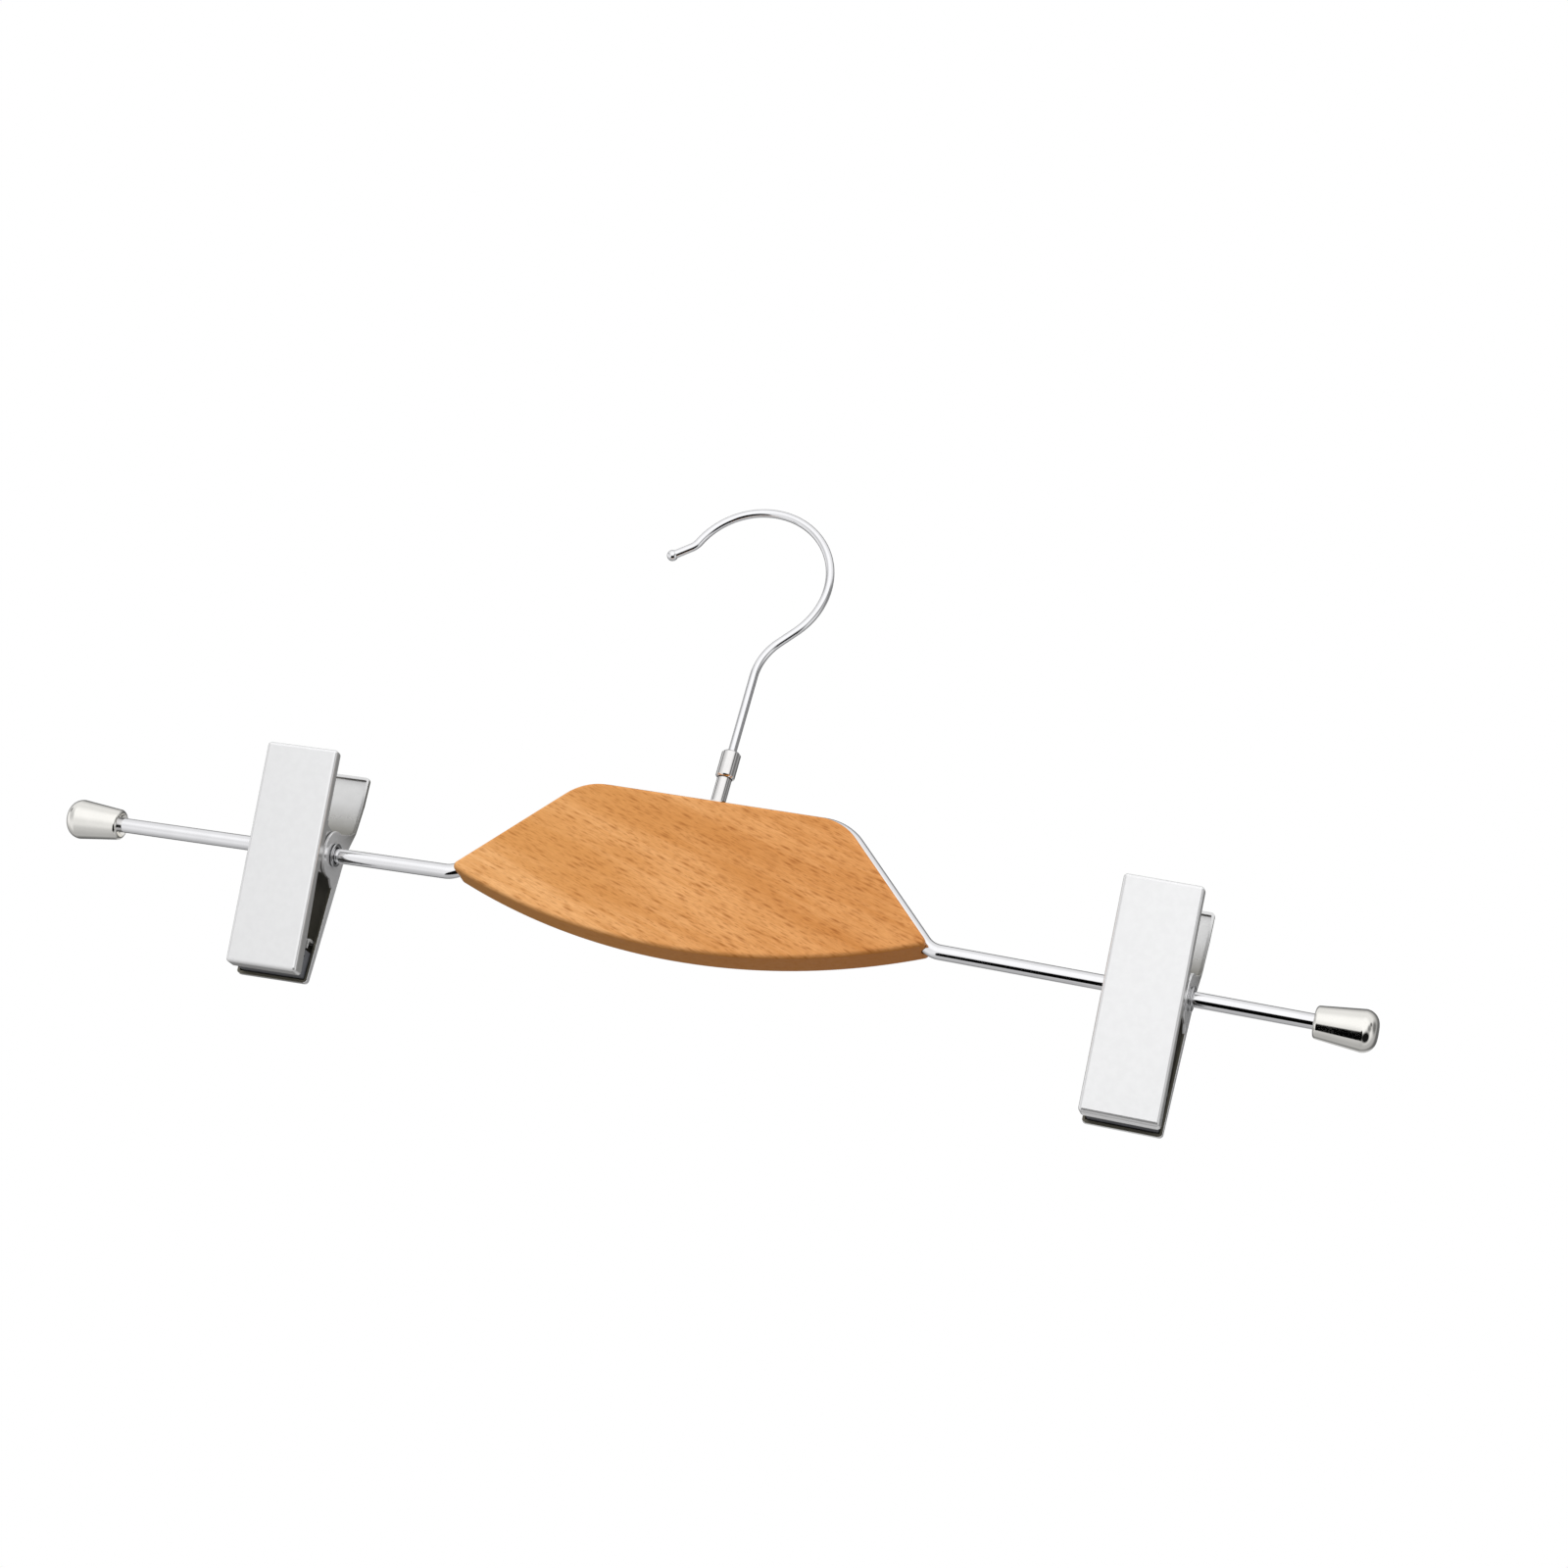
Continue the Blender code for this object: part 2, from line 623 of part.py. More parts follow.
def pad_stop(line):
    """A tongue that runs forward from the rear jaw's sheet and turns down."""
    root = depth_on(line, -TONGUE_TOP) - SHEET / 2
    front = TONGUE_FRONT
    outline = [Vector((root, -TONGUE_TOP)), Vector((front, -TONGUE_TOP)),
               Vector((front, -TONGUE_TOP - TONGUE_DROP)),
               Vector((front + SHEET, -TONGUE_TOP - TONGUE_DROP)),
               Vector((front + SHEET, -TONGUE_TOP - SHEET)), Vector((root, -TONGUE_TOP - SHEET))]
    return finish(prism(outline, TONGUE_WIDTH))


def pad_mesh(line, side):
    """A rubber pad in a jaw's tip, from the sheet to just short of the middle."""
    seat = offset_line(line, -side * (SHEET + GAP))
    low = line[0].y + SHEET + GAP
    high = -PAD_TOP
    meet = -side * GAP / 2
    outline = [Vector((depth_on(seat, low), low)), Vector((depth_on(seat, high), high)),
               Vector((meet, high)), Vector((meet, low))]
    width = JAW_WIDTH - 2 * SHEET - 2 * GAP
    bm = prism(outline, width)
    bmesh.ops.bevel(bm, geom=bm.edges[:], offset=PAD_EDGE_RADIUS, segments=2, profile=0.5,
                    affect="EDGES")
    mesh = finish(bm)
    pitch = (high - low) / (PAD_GROOVES + 1)
    half = PAD_GROOVE_WIDTH / 2
    for i in range(PAD_GROOVES):
        middle = low + (i + 1) * pitch
        groove = [Vector((0, middle - half)), Vector((0, middle + half)),
                  Vector((meet - side * PAD_GROOVE_DEPTH, middle))]
        mesh = boolean(mesh, finish(prism(groove, width + 2 * OVERRUN)), "DIFFERENCE")
    return mesh


def pivot_tube_mesh():
    """A hollow rivet through the ears with a flared rim at each end."""
    ear_face = JAW_WIDTH / 2 + GAP
    end = ear_face + TUBE_FLARE_THICKNESS
    rim = TUBE_FLARE_RADIUS - TUBE_FLARE_THICKNESS / 2
    half = [(ear_face, TUBE_RADIUS), (ear_face, TUBE_FLARE_RADIUS), (end, rim),
            (end, TUBE_BORE_RADIUS)]
    return turned([(-x, r) for x, r in half[::-1]] + half, closed=True)


def spring_points():
    """A torsion spring: front leg, open coil round the tube, rear leg."""
    start = math.radians(SPRING_FRONT_DEG)
    wound = math.radians(SPRING_REAR_DEG - SPRING_FRONT_DEG) + 2 * math.pi * SPRING_TURNS
    length = SPRING_PITCH * wound / (2 * math.pi)
    count = round(POINTS_PER_CURL * wound / (2 * math.pi))
    coil = []
    for i in range(count + 1):
        angle = start + wound * i / count
        coil.append(Vector((length * (0.5 - i / count), SPRING_RADIUS * math.cos(angle),
                            SPRING_RADIUS * math.sin(angle))))
    front = leg_end(coil[0], start, -1, front_line())
    rear = leg_end(coil[-1], start + wound, 1, rear_line())
    return [front] + coil + [rear]


def leg_end(point, angle, way, line):
    """Where a tangent leg from the coil comes to rest beside a jaw's sheet."""
    along = way * Vector((0, -math.sin(angle), math.cos(angle)))
    rest = SHEET + GAP + SPRING_WIRE / 2
    reach = 0.0
    step = SPRING_WIRE / 10
    inside = True
    while inside:
        reach += step
        spot = point + along * reach
        inside = abs(depth_on(line, spot.z)) - abs(spot.y) > rest and spot.z < FRONT_TOP
    return point + along * (reach - step)


def coil_gap(points, radius):
    """The least gap of a tube to itself, measured between points a curl apart."""
    fine = []
    for a, b in zip(points, points[1:]):
        steps = max(1, math.ceil((b - a).length / radius))
        fine += [a.lerp(b, i / steps) for i in range(steps)]
    least = math.inf
    for i, p in enumerate(fine):
        for q in fine[i + 1:]:
            if abs(p.x - q.x) > SPRING_PITCH / 2:
                least = min(least, (p - q).length - 2 * radius)
    return least


def make_clip(side, name, inset, meshes, spring, hanger):
    """One clip on its own axis empty, which lies on the arm and hangs as it balances."""
    place = OVERALL_LENGTH / 2 - inset
    turn = (math.radians(CLIP_HANG_DEG), side * ARM_DROOP, 0)
    axis = empty(name + "_clip_axis", arm_point(side, place), turn, hanger)
    looks = {"pivot_tube": NICKEL, "front_jaw": STEEL, "rear_jaw": STEEL,
             "front_pad": RUBBER, "rear_pad": RUBBER}
    for piece, mesh in meshes.items():
        new_object(name + "_" + piece, mesh, looks[piece], axis)
    placed_tube(name + "_torsion_spring", spring, SPRING_WIRE / 2, 1, SPRING_STEEL, axis)


def clip_meshes():
    """The pieces that both clips share, by name."""
    return {"pivot_tube": shaded(pivot_tube_mesh()), "front_jaw": shaded(front_jaw_mesh()),
            "rear_jaw": shaded(rear_jaw_mesh()), "front_pad": shaded(pad_mesh(front_line(), 1)),
            "rear_pad": shaded(pad_mesh(rear_line(), -1))}


def main():
    clear_scene()
    make_hook()
    hanger = empty("hanger_body", (HOOK_OFFSET, 0, -SEAT_HEIGHT))
    make_plate(hanger)
    make_bar(hanger)
    make_caps(hanger)
    make_barrel(hanger)
    make_stud(hanger)
    meshes = clip_meshes()
    spring = spring_points()
    print("least gap of the spring to itself, mm", round(1000 * coil_gap(spring, SPRING_WIRE / 2), 3))
    make_clip(-1, "left", LEFT_CLIP_INSET, meshes, spring, hanger)
    make_clip(1, "right", RIGHT_CLIP_INSET, meshes, spring, hanger)


main()
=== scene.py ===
"""Clip hanger with a wooden centre plate: finished pieces, finishes, studio and camera.

Run as a script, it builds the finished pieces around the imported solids. Metres, +Z up,
+X along the bar, the front towards -Y, the origin at the inside of the hook's crown.
"""

import json
import math

import bmesh
import bpy
from mathutils import Matrix, Vector


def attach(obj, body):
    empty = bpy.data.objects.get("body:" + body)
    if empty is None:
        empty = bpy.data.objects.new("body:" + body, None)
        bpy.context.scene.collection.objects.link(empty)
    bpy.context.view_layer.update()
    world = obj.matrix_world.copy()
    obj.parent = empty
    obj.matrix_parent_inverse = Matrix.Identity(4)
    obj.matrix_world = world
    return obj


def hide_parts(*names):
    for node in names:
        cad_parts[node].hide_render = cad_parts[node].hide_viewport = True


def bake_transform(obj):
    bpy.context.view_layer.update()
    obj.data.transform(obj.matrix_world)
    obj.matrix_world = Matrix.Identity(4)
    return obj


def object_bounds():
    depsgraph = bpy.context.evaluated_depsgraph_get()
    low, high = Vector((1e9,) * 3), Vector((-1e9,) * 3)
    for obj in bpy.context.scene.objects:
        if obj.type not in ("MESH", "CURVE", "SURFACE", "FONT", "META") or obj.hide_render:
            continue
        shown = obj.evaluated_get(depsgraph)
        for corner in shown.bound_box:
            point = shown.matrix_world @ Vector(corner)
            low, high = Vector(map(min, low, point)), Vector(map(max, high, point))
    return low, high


bl_info = {
    "name": "Clip Hanger",
    "version": (1, 0, 0),
    "blender": (4, 5, 0),
    "location": "View3D > Sidebar > Hanger",
    "description": "Builds a skirt hanger with a beech plate, a swivel hook and two sprung clips",
    "category": "Add Mesh",
}

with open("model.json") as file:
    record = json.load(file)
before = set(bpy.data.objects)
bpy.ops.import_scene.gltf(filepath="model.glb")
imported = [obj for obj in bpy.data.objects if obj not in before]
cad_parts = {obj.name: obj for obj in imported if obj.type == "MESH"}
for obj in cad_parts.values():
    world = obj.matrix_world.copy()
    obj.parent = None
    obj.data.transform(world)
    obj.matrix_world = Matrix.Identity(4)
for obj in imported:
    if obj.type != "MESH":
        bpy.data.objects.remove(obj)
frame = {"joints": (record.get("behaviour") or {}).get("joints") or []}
CAD_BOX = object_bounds()
JOINTS = {joint["name"]: joint for joint in frame["joints"]}
# Where the stem's axis meets the line through the plate's two tips
FOOT = Vector(JOINTS["hook_swivel"]["pos_m"])

# Running and seating gap between pieces that touch on the real hanger
GAP = 0.0003
# Extra reach of a cutter past what it cuts
OVERRUN = 0.0040
# How far round ends stay inside the solids' flat facets
TRIM = 0.00005
# Points nearer than this are one
MERGE = GAP / 100
# Roundness of wires and turned pieces
WIRE_SIDES = 40
COIL_SIDES = 16
TURNED_SIDES = 72
# Degrees that one step of an arc turns
ARC_STEP = 3.0
BELLY_STEP = 1.0
EAR_STEP = 5.0
BALL_STEP = 6.0
RIM_STEP = 10.0
ROLL_STEP = 15.0
# Degrees at which arcs end: a cap's rim and dome, the hook's ball, both kinds of ear
RIM_END = 97
DOME_END = 4
BALL_END = 3
FRONT_EAR = (-80, 80)
REAR_EAR = (78, 282)
QUARTER = math.radians(90)
# Edges that turn more than these degrees are sharp, and are a sheet's fold
SHARP = 32.0
FOLD = 40.0
# Steps across the rounding of edges
PLATE_SEGMENTS = 6
FOLD_SEGMENTS = 6
INNER_FOLD_SEGMENTS = 3
PAD_SEGMENTS = 4
CUT_SEGMENTS = 2
JOGGLE_CUTS = 6


# Settings that a user would change

def length(name, text, metres):
    return bpy.props.FloatProperty(name=name, description=text, default=metres, min=0.0,
                                   unit="LENGTH", precision=5)


def angle(name, text, degrees):
    return bpy.props.FloatProperty(name=name, description=text, default=math.radians(degrees),
                                   subtype="ANGLE")


def count(name, text, default):
    return bpy.props.IntProperty(name=name, description=text, default=default, min=1)


def colour(name, text, default):
    return bpy.props.FloatVectorProperty(name=name, description=text, default=default,
                                         size=3, min=0.0, max=1.0, subtype="COLOR")


class PlateSettings(bpy.types.PropertyGroup):
    top_width: length("Top width", "Straight top edge between the shoulders' corners", 0.0720)
    width: length("Width", "Distance between the two tips", 0.1320)
    shoulder_height: length("Shoulder height", "Height of the top edge above the tips", 0.0301)
    belly: length("Belly", "Depth of the curved lower edge below the tips", 0.0129)
    thickness: length("Thickness", "Thickness of the wood", 0.0100)
    corner_radius: length("Corner radius", "Rounding where the top meets a shoulder", 0.0150)
    tip_radius: length("Tip radius", "Rounding of each tip", 0.0015)
    edge_radius: length("Edge radius", "Rounding of both faces' edges", 0.0011)


class BarSettings(bpy.types.PropertyGroup):
    diameter: length("Diameter", "Diameter of the bar wire", 0.0040)
    overall: length("Overall length", "Length of the hanger over its end caps", 0.3600)
    droop: angle("Droop", "Fall of each arm below the level", 1.2)
    tip_bend: length("Tip bend", "Radius of the bend at each tip of the plate", 0.0070)
    corner_bend: length("Corner bend", "Radius of the bend at the plate's top corners", 0.0140)
    sink: length("Sink", "How far the wire's middle lies inside the plate's edge", 0.0004)


class CapSettings(bpy.types.PropertyGroup):
    length: length("Length", "Length of an end cap", 0.0156)
    mouth_flare: length("Mouth flare", "How much the mouth is wider than the bore", 0.0008)
    mouth_depth: length("Mouth depth", "Depth of the flared mouth", 0.0016)
    neck_wall: length("Neck wall", "Wall at the inner end", 0.0011)
    rim_radius: length("Rim radius", "Rounding of the inner end", 0.0009)
    swell: length("Swell", "How much thicker the outer end is than the neck", 0.0012)
    dome_radius: length("Dome radius", "Rounding of the outer end", 0.0036)
    end_wall: length("End wall", "Metal beyond the end of the wire", 0.0030)


class HookSettings(bpy.types.PropertyGroup):
    diameter: length("Diameter", "Diameter of the hook wire", 0.0023)
    radius: length("Crown radius", "Radius of the crown, to the wire's middle", 0.0208)
    leave: angle("Leave", "Where the crown ends on the stem's side", -43.0)
    turn_out: angle("Turn out", "Where the crown ends on the lip's side", 154.0)
    neck_radius: length("Neck radius", "Bend between the stem and the crown", 0.0160)
    lip_radius: length("Lip radius", "Bend that turns the lip outwards", 0.0050)
    lip_length: length("Lip length", "Straight part of the lip before its ball", 0.0057)
    lip_slope: angle("Lip slope", "Fall of the lip below the level", 34.0)
    ball: length("Ball", "Diameter of the ball at the tip", 0.0031)
    head_step: length("Head step", "How much wider the upset head is, on the radius", 0.0006)
    head_length: length("Head length", "Length of the upset head", 0.0010)


class SwivelSettings(bpy.types.PropertyGroup):
    barrel_length: length("Barrel length", "Length of the sleeve", 0.0077)
    barrel_wall: length("Barrel wall", "Wall of the sleeve", 0.00055)
    barrel_lip: length("Barrel lip", "Thickness of the sleeve's closed top", 0.0008)
    chamfer: length("Chamfer", "Chamfer at both ends of the sleeve", 0.0005)
    stud_height: length("Stud height", "Height of the stud above the plate's top", 0.0082)
    stud_shoulder: length("Stud shoulder", "Step from the spigot to the stud", 0.00025)
    foot_flare: length("Foot flare", "Flare of the stud's foot", 0.0004)
    foot_height: length("Foot height", "Height of the flare", 0.0012)
    spigot: length("Spigot", "Height of the spigot inside the sleeve", 0.0024)


class JawSettings(bpy.types.PropertyGroup):
    width: length("Width", "Width of a clip", 0.0205)
    sheet: length("Sheet", "Thickness of the metal", 0.0008)
    fold_radius: length("Fold radius", "Outer radius of the folds", 0.0010)
    cut_edge: length("Cut edge", "Softening of the sheet's cut edges", 0.00010)
    hang: angle("Hang", "Lean at which a clip balances on its arm", 6.0)
    front_top: length("Front top", "Top of the front jaw above the pivot", 0.0250)
    front_tip: length("Front tip", "Tip of the front jaw below the pivot", 0.0345)
    front_top_depth: length("Front top depth", "Front face before the pivot at its top", 0.0151)
    front_tip_depth: length("Front tip depth", "Front face before the pivot at its tip", 0.0055)
    front_top_flange: length("Front top flange", "Flange depth at the top", 0.0027)
    front_flange: length("Front flange", "Flange depth beside the ears", 0.0026)
    front_tip_flange: length("Front tip flange", "Flange depth at the tip", 0.0042)
    front_ear_wall: length("Front ear wall", "Metal round the hole of a front ear", 0.0023)
    front_ear_root: length("Front ear root", "Half height of a front ear's root", 0.0068)
    joggle_start: length("Joggle start", "Depth where the front ears start to step in", 0.0031)
    joggle_end: length("Joggle end", "Depth where the front ears have stepped in", 0.0040)
    rear_tip: length("Rear tip", "Tip of the rear jaw below the pivot", 0.0353)
    rear_tip_depth: length("Rear tip depth", "Rear face behind the pivot at its tip", 0.0056)
    rear_depth: length("Rear depth", "Rear face behind the pivot beside it", 0.0082)
    knee_low: length("Knee low", "Start of the bend below the thumb tab", 0.0025)
    knee_high: length("Knee high", "End of the bend below the thumb tab", 0.0095)
    tab_foot_depth: length("Tab foot depth", "Depth at the foot of the thumb tab", 0.0112)
    tab_bulge_depth: length("Tab bulge depth", "Depth at the tab's fullest place", 0.0122)
    tab_bulge_height: length("Tab bulge height", "Height of the tab's fullest place", 0.0180)
    tab_top_depth: length("Tab top depth", "Depth at the top of the tab", 0.0118)
    tab_top: length("Tab top", "Top of the tab above the pivot", 0.0258)
    tab_flange: length("Tab flange", "Flange depth of the tab", 0.0020)
    tab_foot_flange: length("Tab foot flange", "Flange depth at the tab's foot", 0.0016)
    rear_flange: length("Rear flange", "Flange depth below the ears", 0.0036)
    rear_tip_flange: length("Rear tip flange", "Flange depth at the tip", 0.0024)
    rear_ear_wall: length("Rear ear wall", "Metal round the hole of a rear ear", 0.0033)
    rear_ear_shoulder: length("Rear ear shoulder", "Half height of a rear ear's root", 0.0082)
    tongue_width: length("Tongue width", "Width of the pad stop", 0.0180)
    tongue_top: length("Tongue top", "Pad stop below the pivot", 0.0234)
    tongue_drop: length("Tongue drop", "Height of the pad stop's turned edge", 0.0028)
    tongue_front: length("Tongue front", "Face of the pad stop behind the middle", 0.0006)


class PadSettings(bpy.types.PropertyGroup):
    top: length("Top", "Top of the pads below the pivot", 0.0268)
    edge_radius: length("Edge radius", "Rounding of the pads", 0.0004)
    grooves: count("Grooves", "Grooves across each pad", 3)
    groove_depth: length("Groove depth", "Depth of a groove", 0.0005)
    groove_width: length("Groove width", "Width of a groove", 0.0006)


class PivotSettings(bpy.types.PropertyGroup):
    wall: length("Wall", "Wall of the pivot tube", 0.0005)
    flare: length("Flare", "How far a rim stands out", 0.0005)
    flare_thickness: length("Flare thickness", "Thickness of a rim", 0.0006)
    spring_wire: length("Spring wire", "Diameter of the spring wire", 0.0012)
    coil_gap: length("Coil gap", "Gap between the spring's turns", 0.0007)
    turns: count("Turns", "Whole turns of the spring", 4)
    front_leg: angle("Front leg", "Where the coil starts, at its front leg", 210.0)
    rear_leg: angle("Rear leg", "Where the coil ends, at its rear leg", 340.0)
    curl_points: count("Points in a curl", "Points in each turn of the coil", 24)


class FinishSettings(bpy.types.PropertyGroup):
    beech_light: colour("Beech, light", "Light wood", (0.930, 0.500, 0.205))
    beech_dark: colour("Beech, dark", "Darker bands of the wood", (0.745, 0.345, 0.105))
    fleck: colour("Fleck", "Short dark pores", (0.425, 0.150, 0.030))
    # Edge: the rounded edges' colour, more orange than the faces and darker as painted shade on
    # the rim
    edge: colour("Edge", "Rounded edges, more orange and darker as painted shade", (0.640, 0.265, 0.044))
    # Darker towards the plate's right end: the wood's colour is multiplied by this tint, fully so
    # at the right tip
    right_end_tint: colour("Right end tint", "Multiplies the wood's colour at its right end",
                  (0.860, 0.740, 0.610))
    grain_tilt: angle("Grain tilt", "Fall of the grain towards the right tip", 18.0)
    chrome: colour("Chrome", "Plating of the wires", (0.93, 0.93, 0.95))
    nickel: colour("Nickel", "Plating of the caps and rims", (0.93, 0.915, 0.875))
    swivel: colour("Swivel", "Plating of the barrel and stud", (0.88, 0.865, 0.86))
    steel: colour("Clip steel", "Satin plating of the clips", (0.925, 0.927, 0.937))
    # Painted shade: the dark colour laid where the inside attribute marks a clip, on its inner
    # faces and the underside of the tab's lip, and painted dark reflection on its side flanges
    inside: colour("Inside", "Painted shade inside the clips", (0.150, 0.141, 0.112))
    # Pivot tubes: a dull steel whose dark tone is partly painted shade, standing in for the shade
    # round the bar where it passes the ears
    tube: colour("Pivot tube", "Plating of the pivot tubes", (0.58, 0.58, 0.59))
    spring: colour("Spring steel", "Oiled spring wire", (0.42, 0.42, 0.43))
    rubber: colour("Rubber", "Pads", (0.100, 0.104, 0.116))


class StudioSettings(bpy.types.PropertyGroup):
    lens: bpy.props.FloatProperty(name="Lens", description="Focal length", default=71.985,
                                  unit="CAMERA")
    eye: bpy.props.FloatVectorProperty(name="Eye", description="Place of the camera", size=3,
                                       default=(0.2536217, -0.7293537, -0.3934565),
                                       subtype="TRANSLATION", precision=5)
    turn: bpy.props.FloatVectorProperty(name="Turn", description="Turn of the camera", size=3,
                                        default=(1.974548055, -0.248682495, 0.200846732),
                                        subtype="EULER")
    near: length("Near", "Nearest distance that the camera sees", 0.01)
    far: length("Far", "Farthest distance that the camera sees", 50.0)
    floor_drop: length("Floor drop", "Floor below the hanger", 0.4500)
    floor_width: length("Floor width", "Width of the floor", 6.0)


GROUPS = {"plate": PlateSettings, "bar": BarSettings, "cap": CapSettings, "hook": HookSettings,
          "swivel": SwivelSettings, "jaw": JawSettings, "pad": PadSettings,
          "pivot": PivotSettings, "finish": FinishSettings, "studio": StudioSettings}


class HangerSettings(bpy.types.PropertyGroup):
    __annotations__ = {name: bpy.props.PointerProperty(type=group)
                       for name, group in GROUPS.items()}


def settings():
    return bpy.context.scene.clip_hanger


# Points and outlines, drawn from the foot of the stem or from a clip's pivot

def vectors(*points):
    return [Vector(point) for point in points]


def heading(turn):
    """The unit vector of the drawing plane at an angle."""
    return Vector((math.cos(turn), math.sin(turn)))


def arc(centre, radius, start_deg, end_deg, step_deg=ARC_STEP):
    """Points on an arc of the drawing plane, both ends included."""
    steps = max(2, math.ceil(abs(end_deg - start_deg) / step_deg))
    turns = (math.radians(start_deg + (end_deg - start_deg) * i / steps)
             for i in range(steps + 1))
    return [centre + radius * heading(turn) for turn in turns]


def rounded(corners, radii, closed=False):
    """The polyline through the corners, each rounded by its radius."""
    total = len(corners)
    points = []
    for i, corner in enumerate(corners):
        radius = radii[i]
        if radius == 0 or (not closed and i in (0, total - 1)):
            points.append(corner.copy())
            continue
        back = (corners[i - 1] - corner).normalized()
        ahead = (corners[(i + 1) % total] - corner).normalized()
        half = back.angle(ahead) / 2
        centre = corner + (back + ahead).normalized() * (radius / math.sin(half))
        first = corner + back * (radius / math.tan(half)) - centre
        turn = math.pi - 2 * half
        side = 1.0 if back.x * ahead.y - back.y * ahead.x < 0 else -1.0
        steps = max(2, math.ceil(math.degrees(turn) / ARC_STEP))
        for k in range(steps + 1):
            points.append(centre + Matrix.Rotation(side * turn * k / steps, 2) @ first)
    return points


def offset_line(points, distance):
    """An open polyline moved sideways by a distance, to the left of its direction."""
    moved = []
    for i, point in enumerate(points):
        before = (point - points[i - 1]).normalized() if i else None
        after = (points[i + 1] - point).normalized() if i + 1 < len(points) else None
        before = before or after
        after = after or before
        normal = Vector((-before.y - after.y, before.x + after.x)).normalized()
        along = Vector((-before.y, before.x))
        moved.append(point + normal * (distance / normal.dot(along)))
    return moved


def depth_on(line, height):
    """The depth of a jaw's outer line, a rising polyline, at a height."""
    for low, high in zip(line, line[1:]):
        if height <= high.y or high is line[-1]:
            return low.x + (high.x - low.x) * (height - low.y) / (high.y - low.y)


# Meshes

def finish_mesh(bm):
    """The mesh of a bmesh with its faces turned outwards."""
    bmesh.ops.recalc_face_normals(bm, faces=bm.faces)
    mesh = bpy.data.meshes.new("piece")
    bm.to_mesh(mesh)
    bm.free()
    return mesh


def turned(profile, closed=False):
    """A body turned about X from a profile of (x, radius) points."""
    bm = bmesh.new()
    verts = [bm.verts.new((x, radius, 0)) for x, radius in profile]
    pairs = list(zip(verts, verts[1:]))
    if closed:
        pairs.append((verts[-1], verts[0]))
    edges = [bm.edges.new(pair) for pair in pairs]
    bmesh.ops.spin(bm, geom=verts + edges, axis=(1, 0, 0), cent=(0, 0, 0),
                   angle=2 * math.pi, steps=TURNED_SIDES, use_merge=True)
    bmesh.ops.remove_doubles(bm, verts=bm.verts, dist=MERGE)
    return finish_mesh(bm)


def prism(outline, width):
    """A side outline of (y, z) points carried across a width, centred on X."""
    bm = bmesh.new()
    face = bm.faces.new([bm.verts.new((-width / 2, p.x, p.y)) for p in outline])
    carried = bmesh.ops.extrude_face_region(bm, geom=[face])["geom"]
    moved = [v for v in carried if isinstance(v, bmesh.types.BMVert)]
    bmesh.ops.translate(bm, verts=moved, vec=(width, 0, 0))
    bmesh.ops.recalc_face_normals(bm, faces=bm.faces)
    return bm


def round_edges(bm, edges, radius, segments):
    """The mesh of a bmesh with some of its edges rounded."""
    bmesh.ops.bevel(bm, geom=edges, offset=radius, segments=segments, profile=0.5,
                    affect="EDGES")
    return finish_mesh(bm)


def link_object(name, data):
    thing = bpy.data.objects.new(name, data)
    bpy.context.scene.collection.objects.link(thing)
    return thing


def modified(mesh, kind, sockets=None, **options):
    """A plain mesh of what a modifier makes of a mesh."""
    thing = link_object("work", mesh)
    modifier = thing.modifiers.new("work", kind)
    for key, value in options.items():
        setattr(modifier, key, value)
    for key, value in (sockets or {}).items():
        modifier[key] = value
    bpy.context.view_layer.update()
    graph = bpy.context.evaluated_depsgraph_get()
    result = bpy.data.meshes.new_from_object(thing.evaluated_get(graph))
    bpy.data.objects.remove(thing, do_unlink=True)
    return result


def in_order(mesh):
    """The mesh with its points and faces sorted, because a Boolean's order varies."""
    places = [tuple(vertex.co) for vertex in mesh.vertices]
    order = sorted(range(len(places)), key=places.__getitem__)
    rank = {old: new for new, old in enumerate(order)}
    faces = []
    for face in mesh.polygons:
        turn = [rank[i] for i in face.vertices]
        first = turn.index(min(turn))
        faces.append(turn[first:] + turn[:first])
    made = bpy.data.meshes.new(mesh.name)
    made.from_pydata([places[i] for i in order], [], sorted(faces))
    return made


def boolean(mesh, cutter, operation="DIFFERENCE"):
    """The mesh after an exact Boolean with a cutter mesh."""
    tool = link_object("tool", cutter)
    result = modified(mesh, "BOOLEAN", operation=operation, solver="EXACT", object=tool)
    bpy.data.objects.remove(tool, do_unlink=True)
    return in_order(result)


def softened(mesh, width):
    """The mesh with its sharp edges slightly rounded."""
    return modified(mesh, "BEVEL", width=width, segments=CUT_SEGMENTS, limit_method="ANGLE",
                    angle_limit=math.radians(SHARP), use_clamp_overlap=True)


def smooth(mesh):
    """Shades a mesh smooth, its sharp edges kept crisp."""
    mesh.shade_smooth()
    mesh.set_sharp_from_angle(angle=math.radians(SHARP))
    return mesh


def shaded(mesh):
    """The mesh shaded smooth, flat faces kept flat and sharp edges kept crisp."""
    return modified(smooth(mesh), "WEIGHTED_NORMAL", keep_sharp=True)


def placed(name, mesh, material, place=None):
    """A finished piece at the origin, with its place in its mesh."""
    mesh = mesh.copy()
    mesh.name = name
    if place is not None:
        mesh.transform(place)
    mesh.materials.clear()
    mesh.materials.append(material)
    return link_object(name, mesh)


def fit(name, mesh, finish, body, node, place=None):
    """A finished piece that rides on its body and stands for its solid."""
    piece = placed(name, mesh, finish, place)
    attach(piece, body)
    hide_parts(node)


# Node trees

def once(kept, name, build):
    """The named thing of a collection, built the first time that it is asked for."""
    return kept.get(name) or build(name)


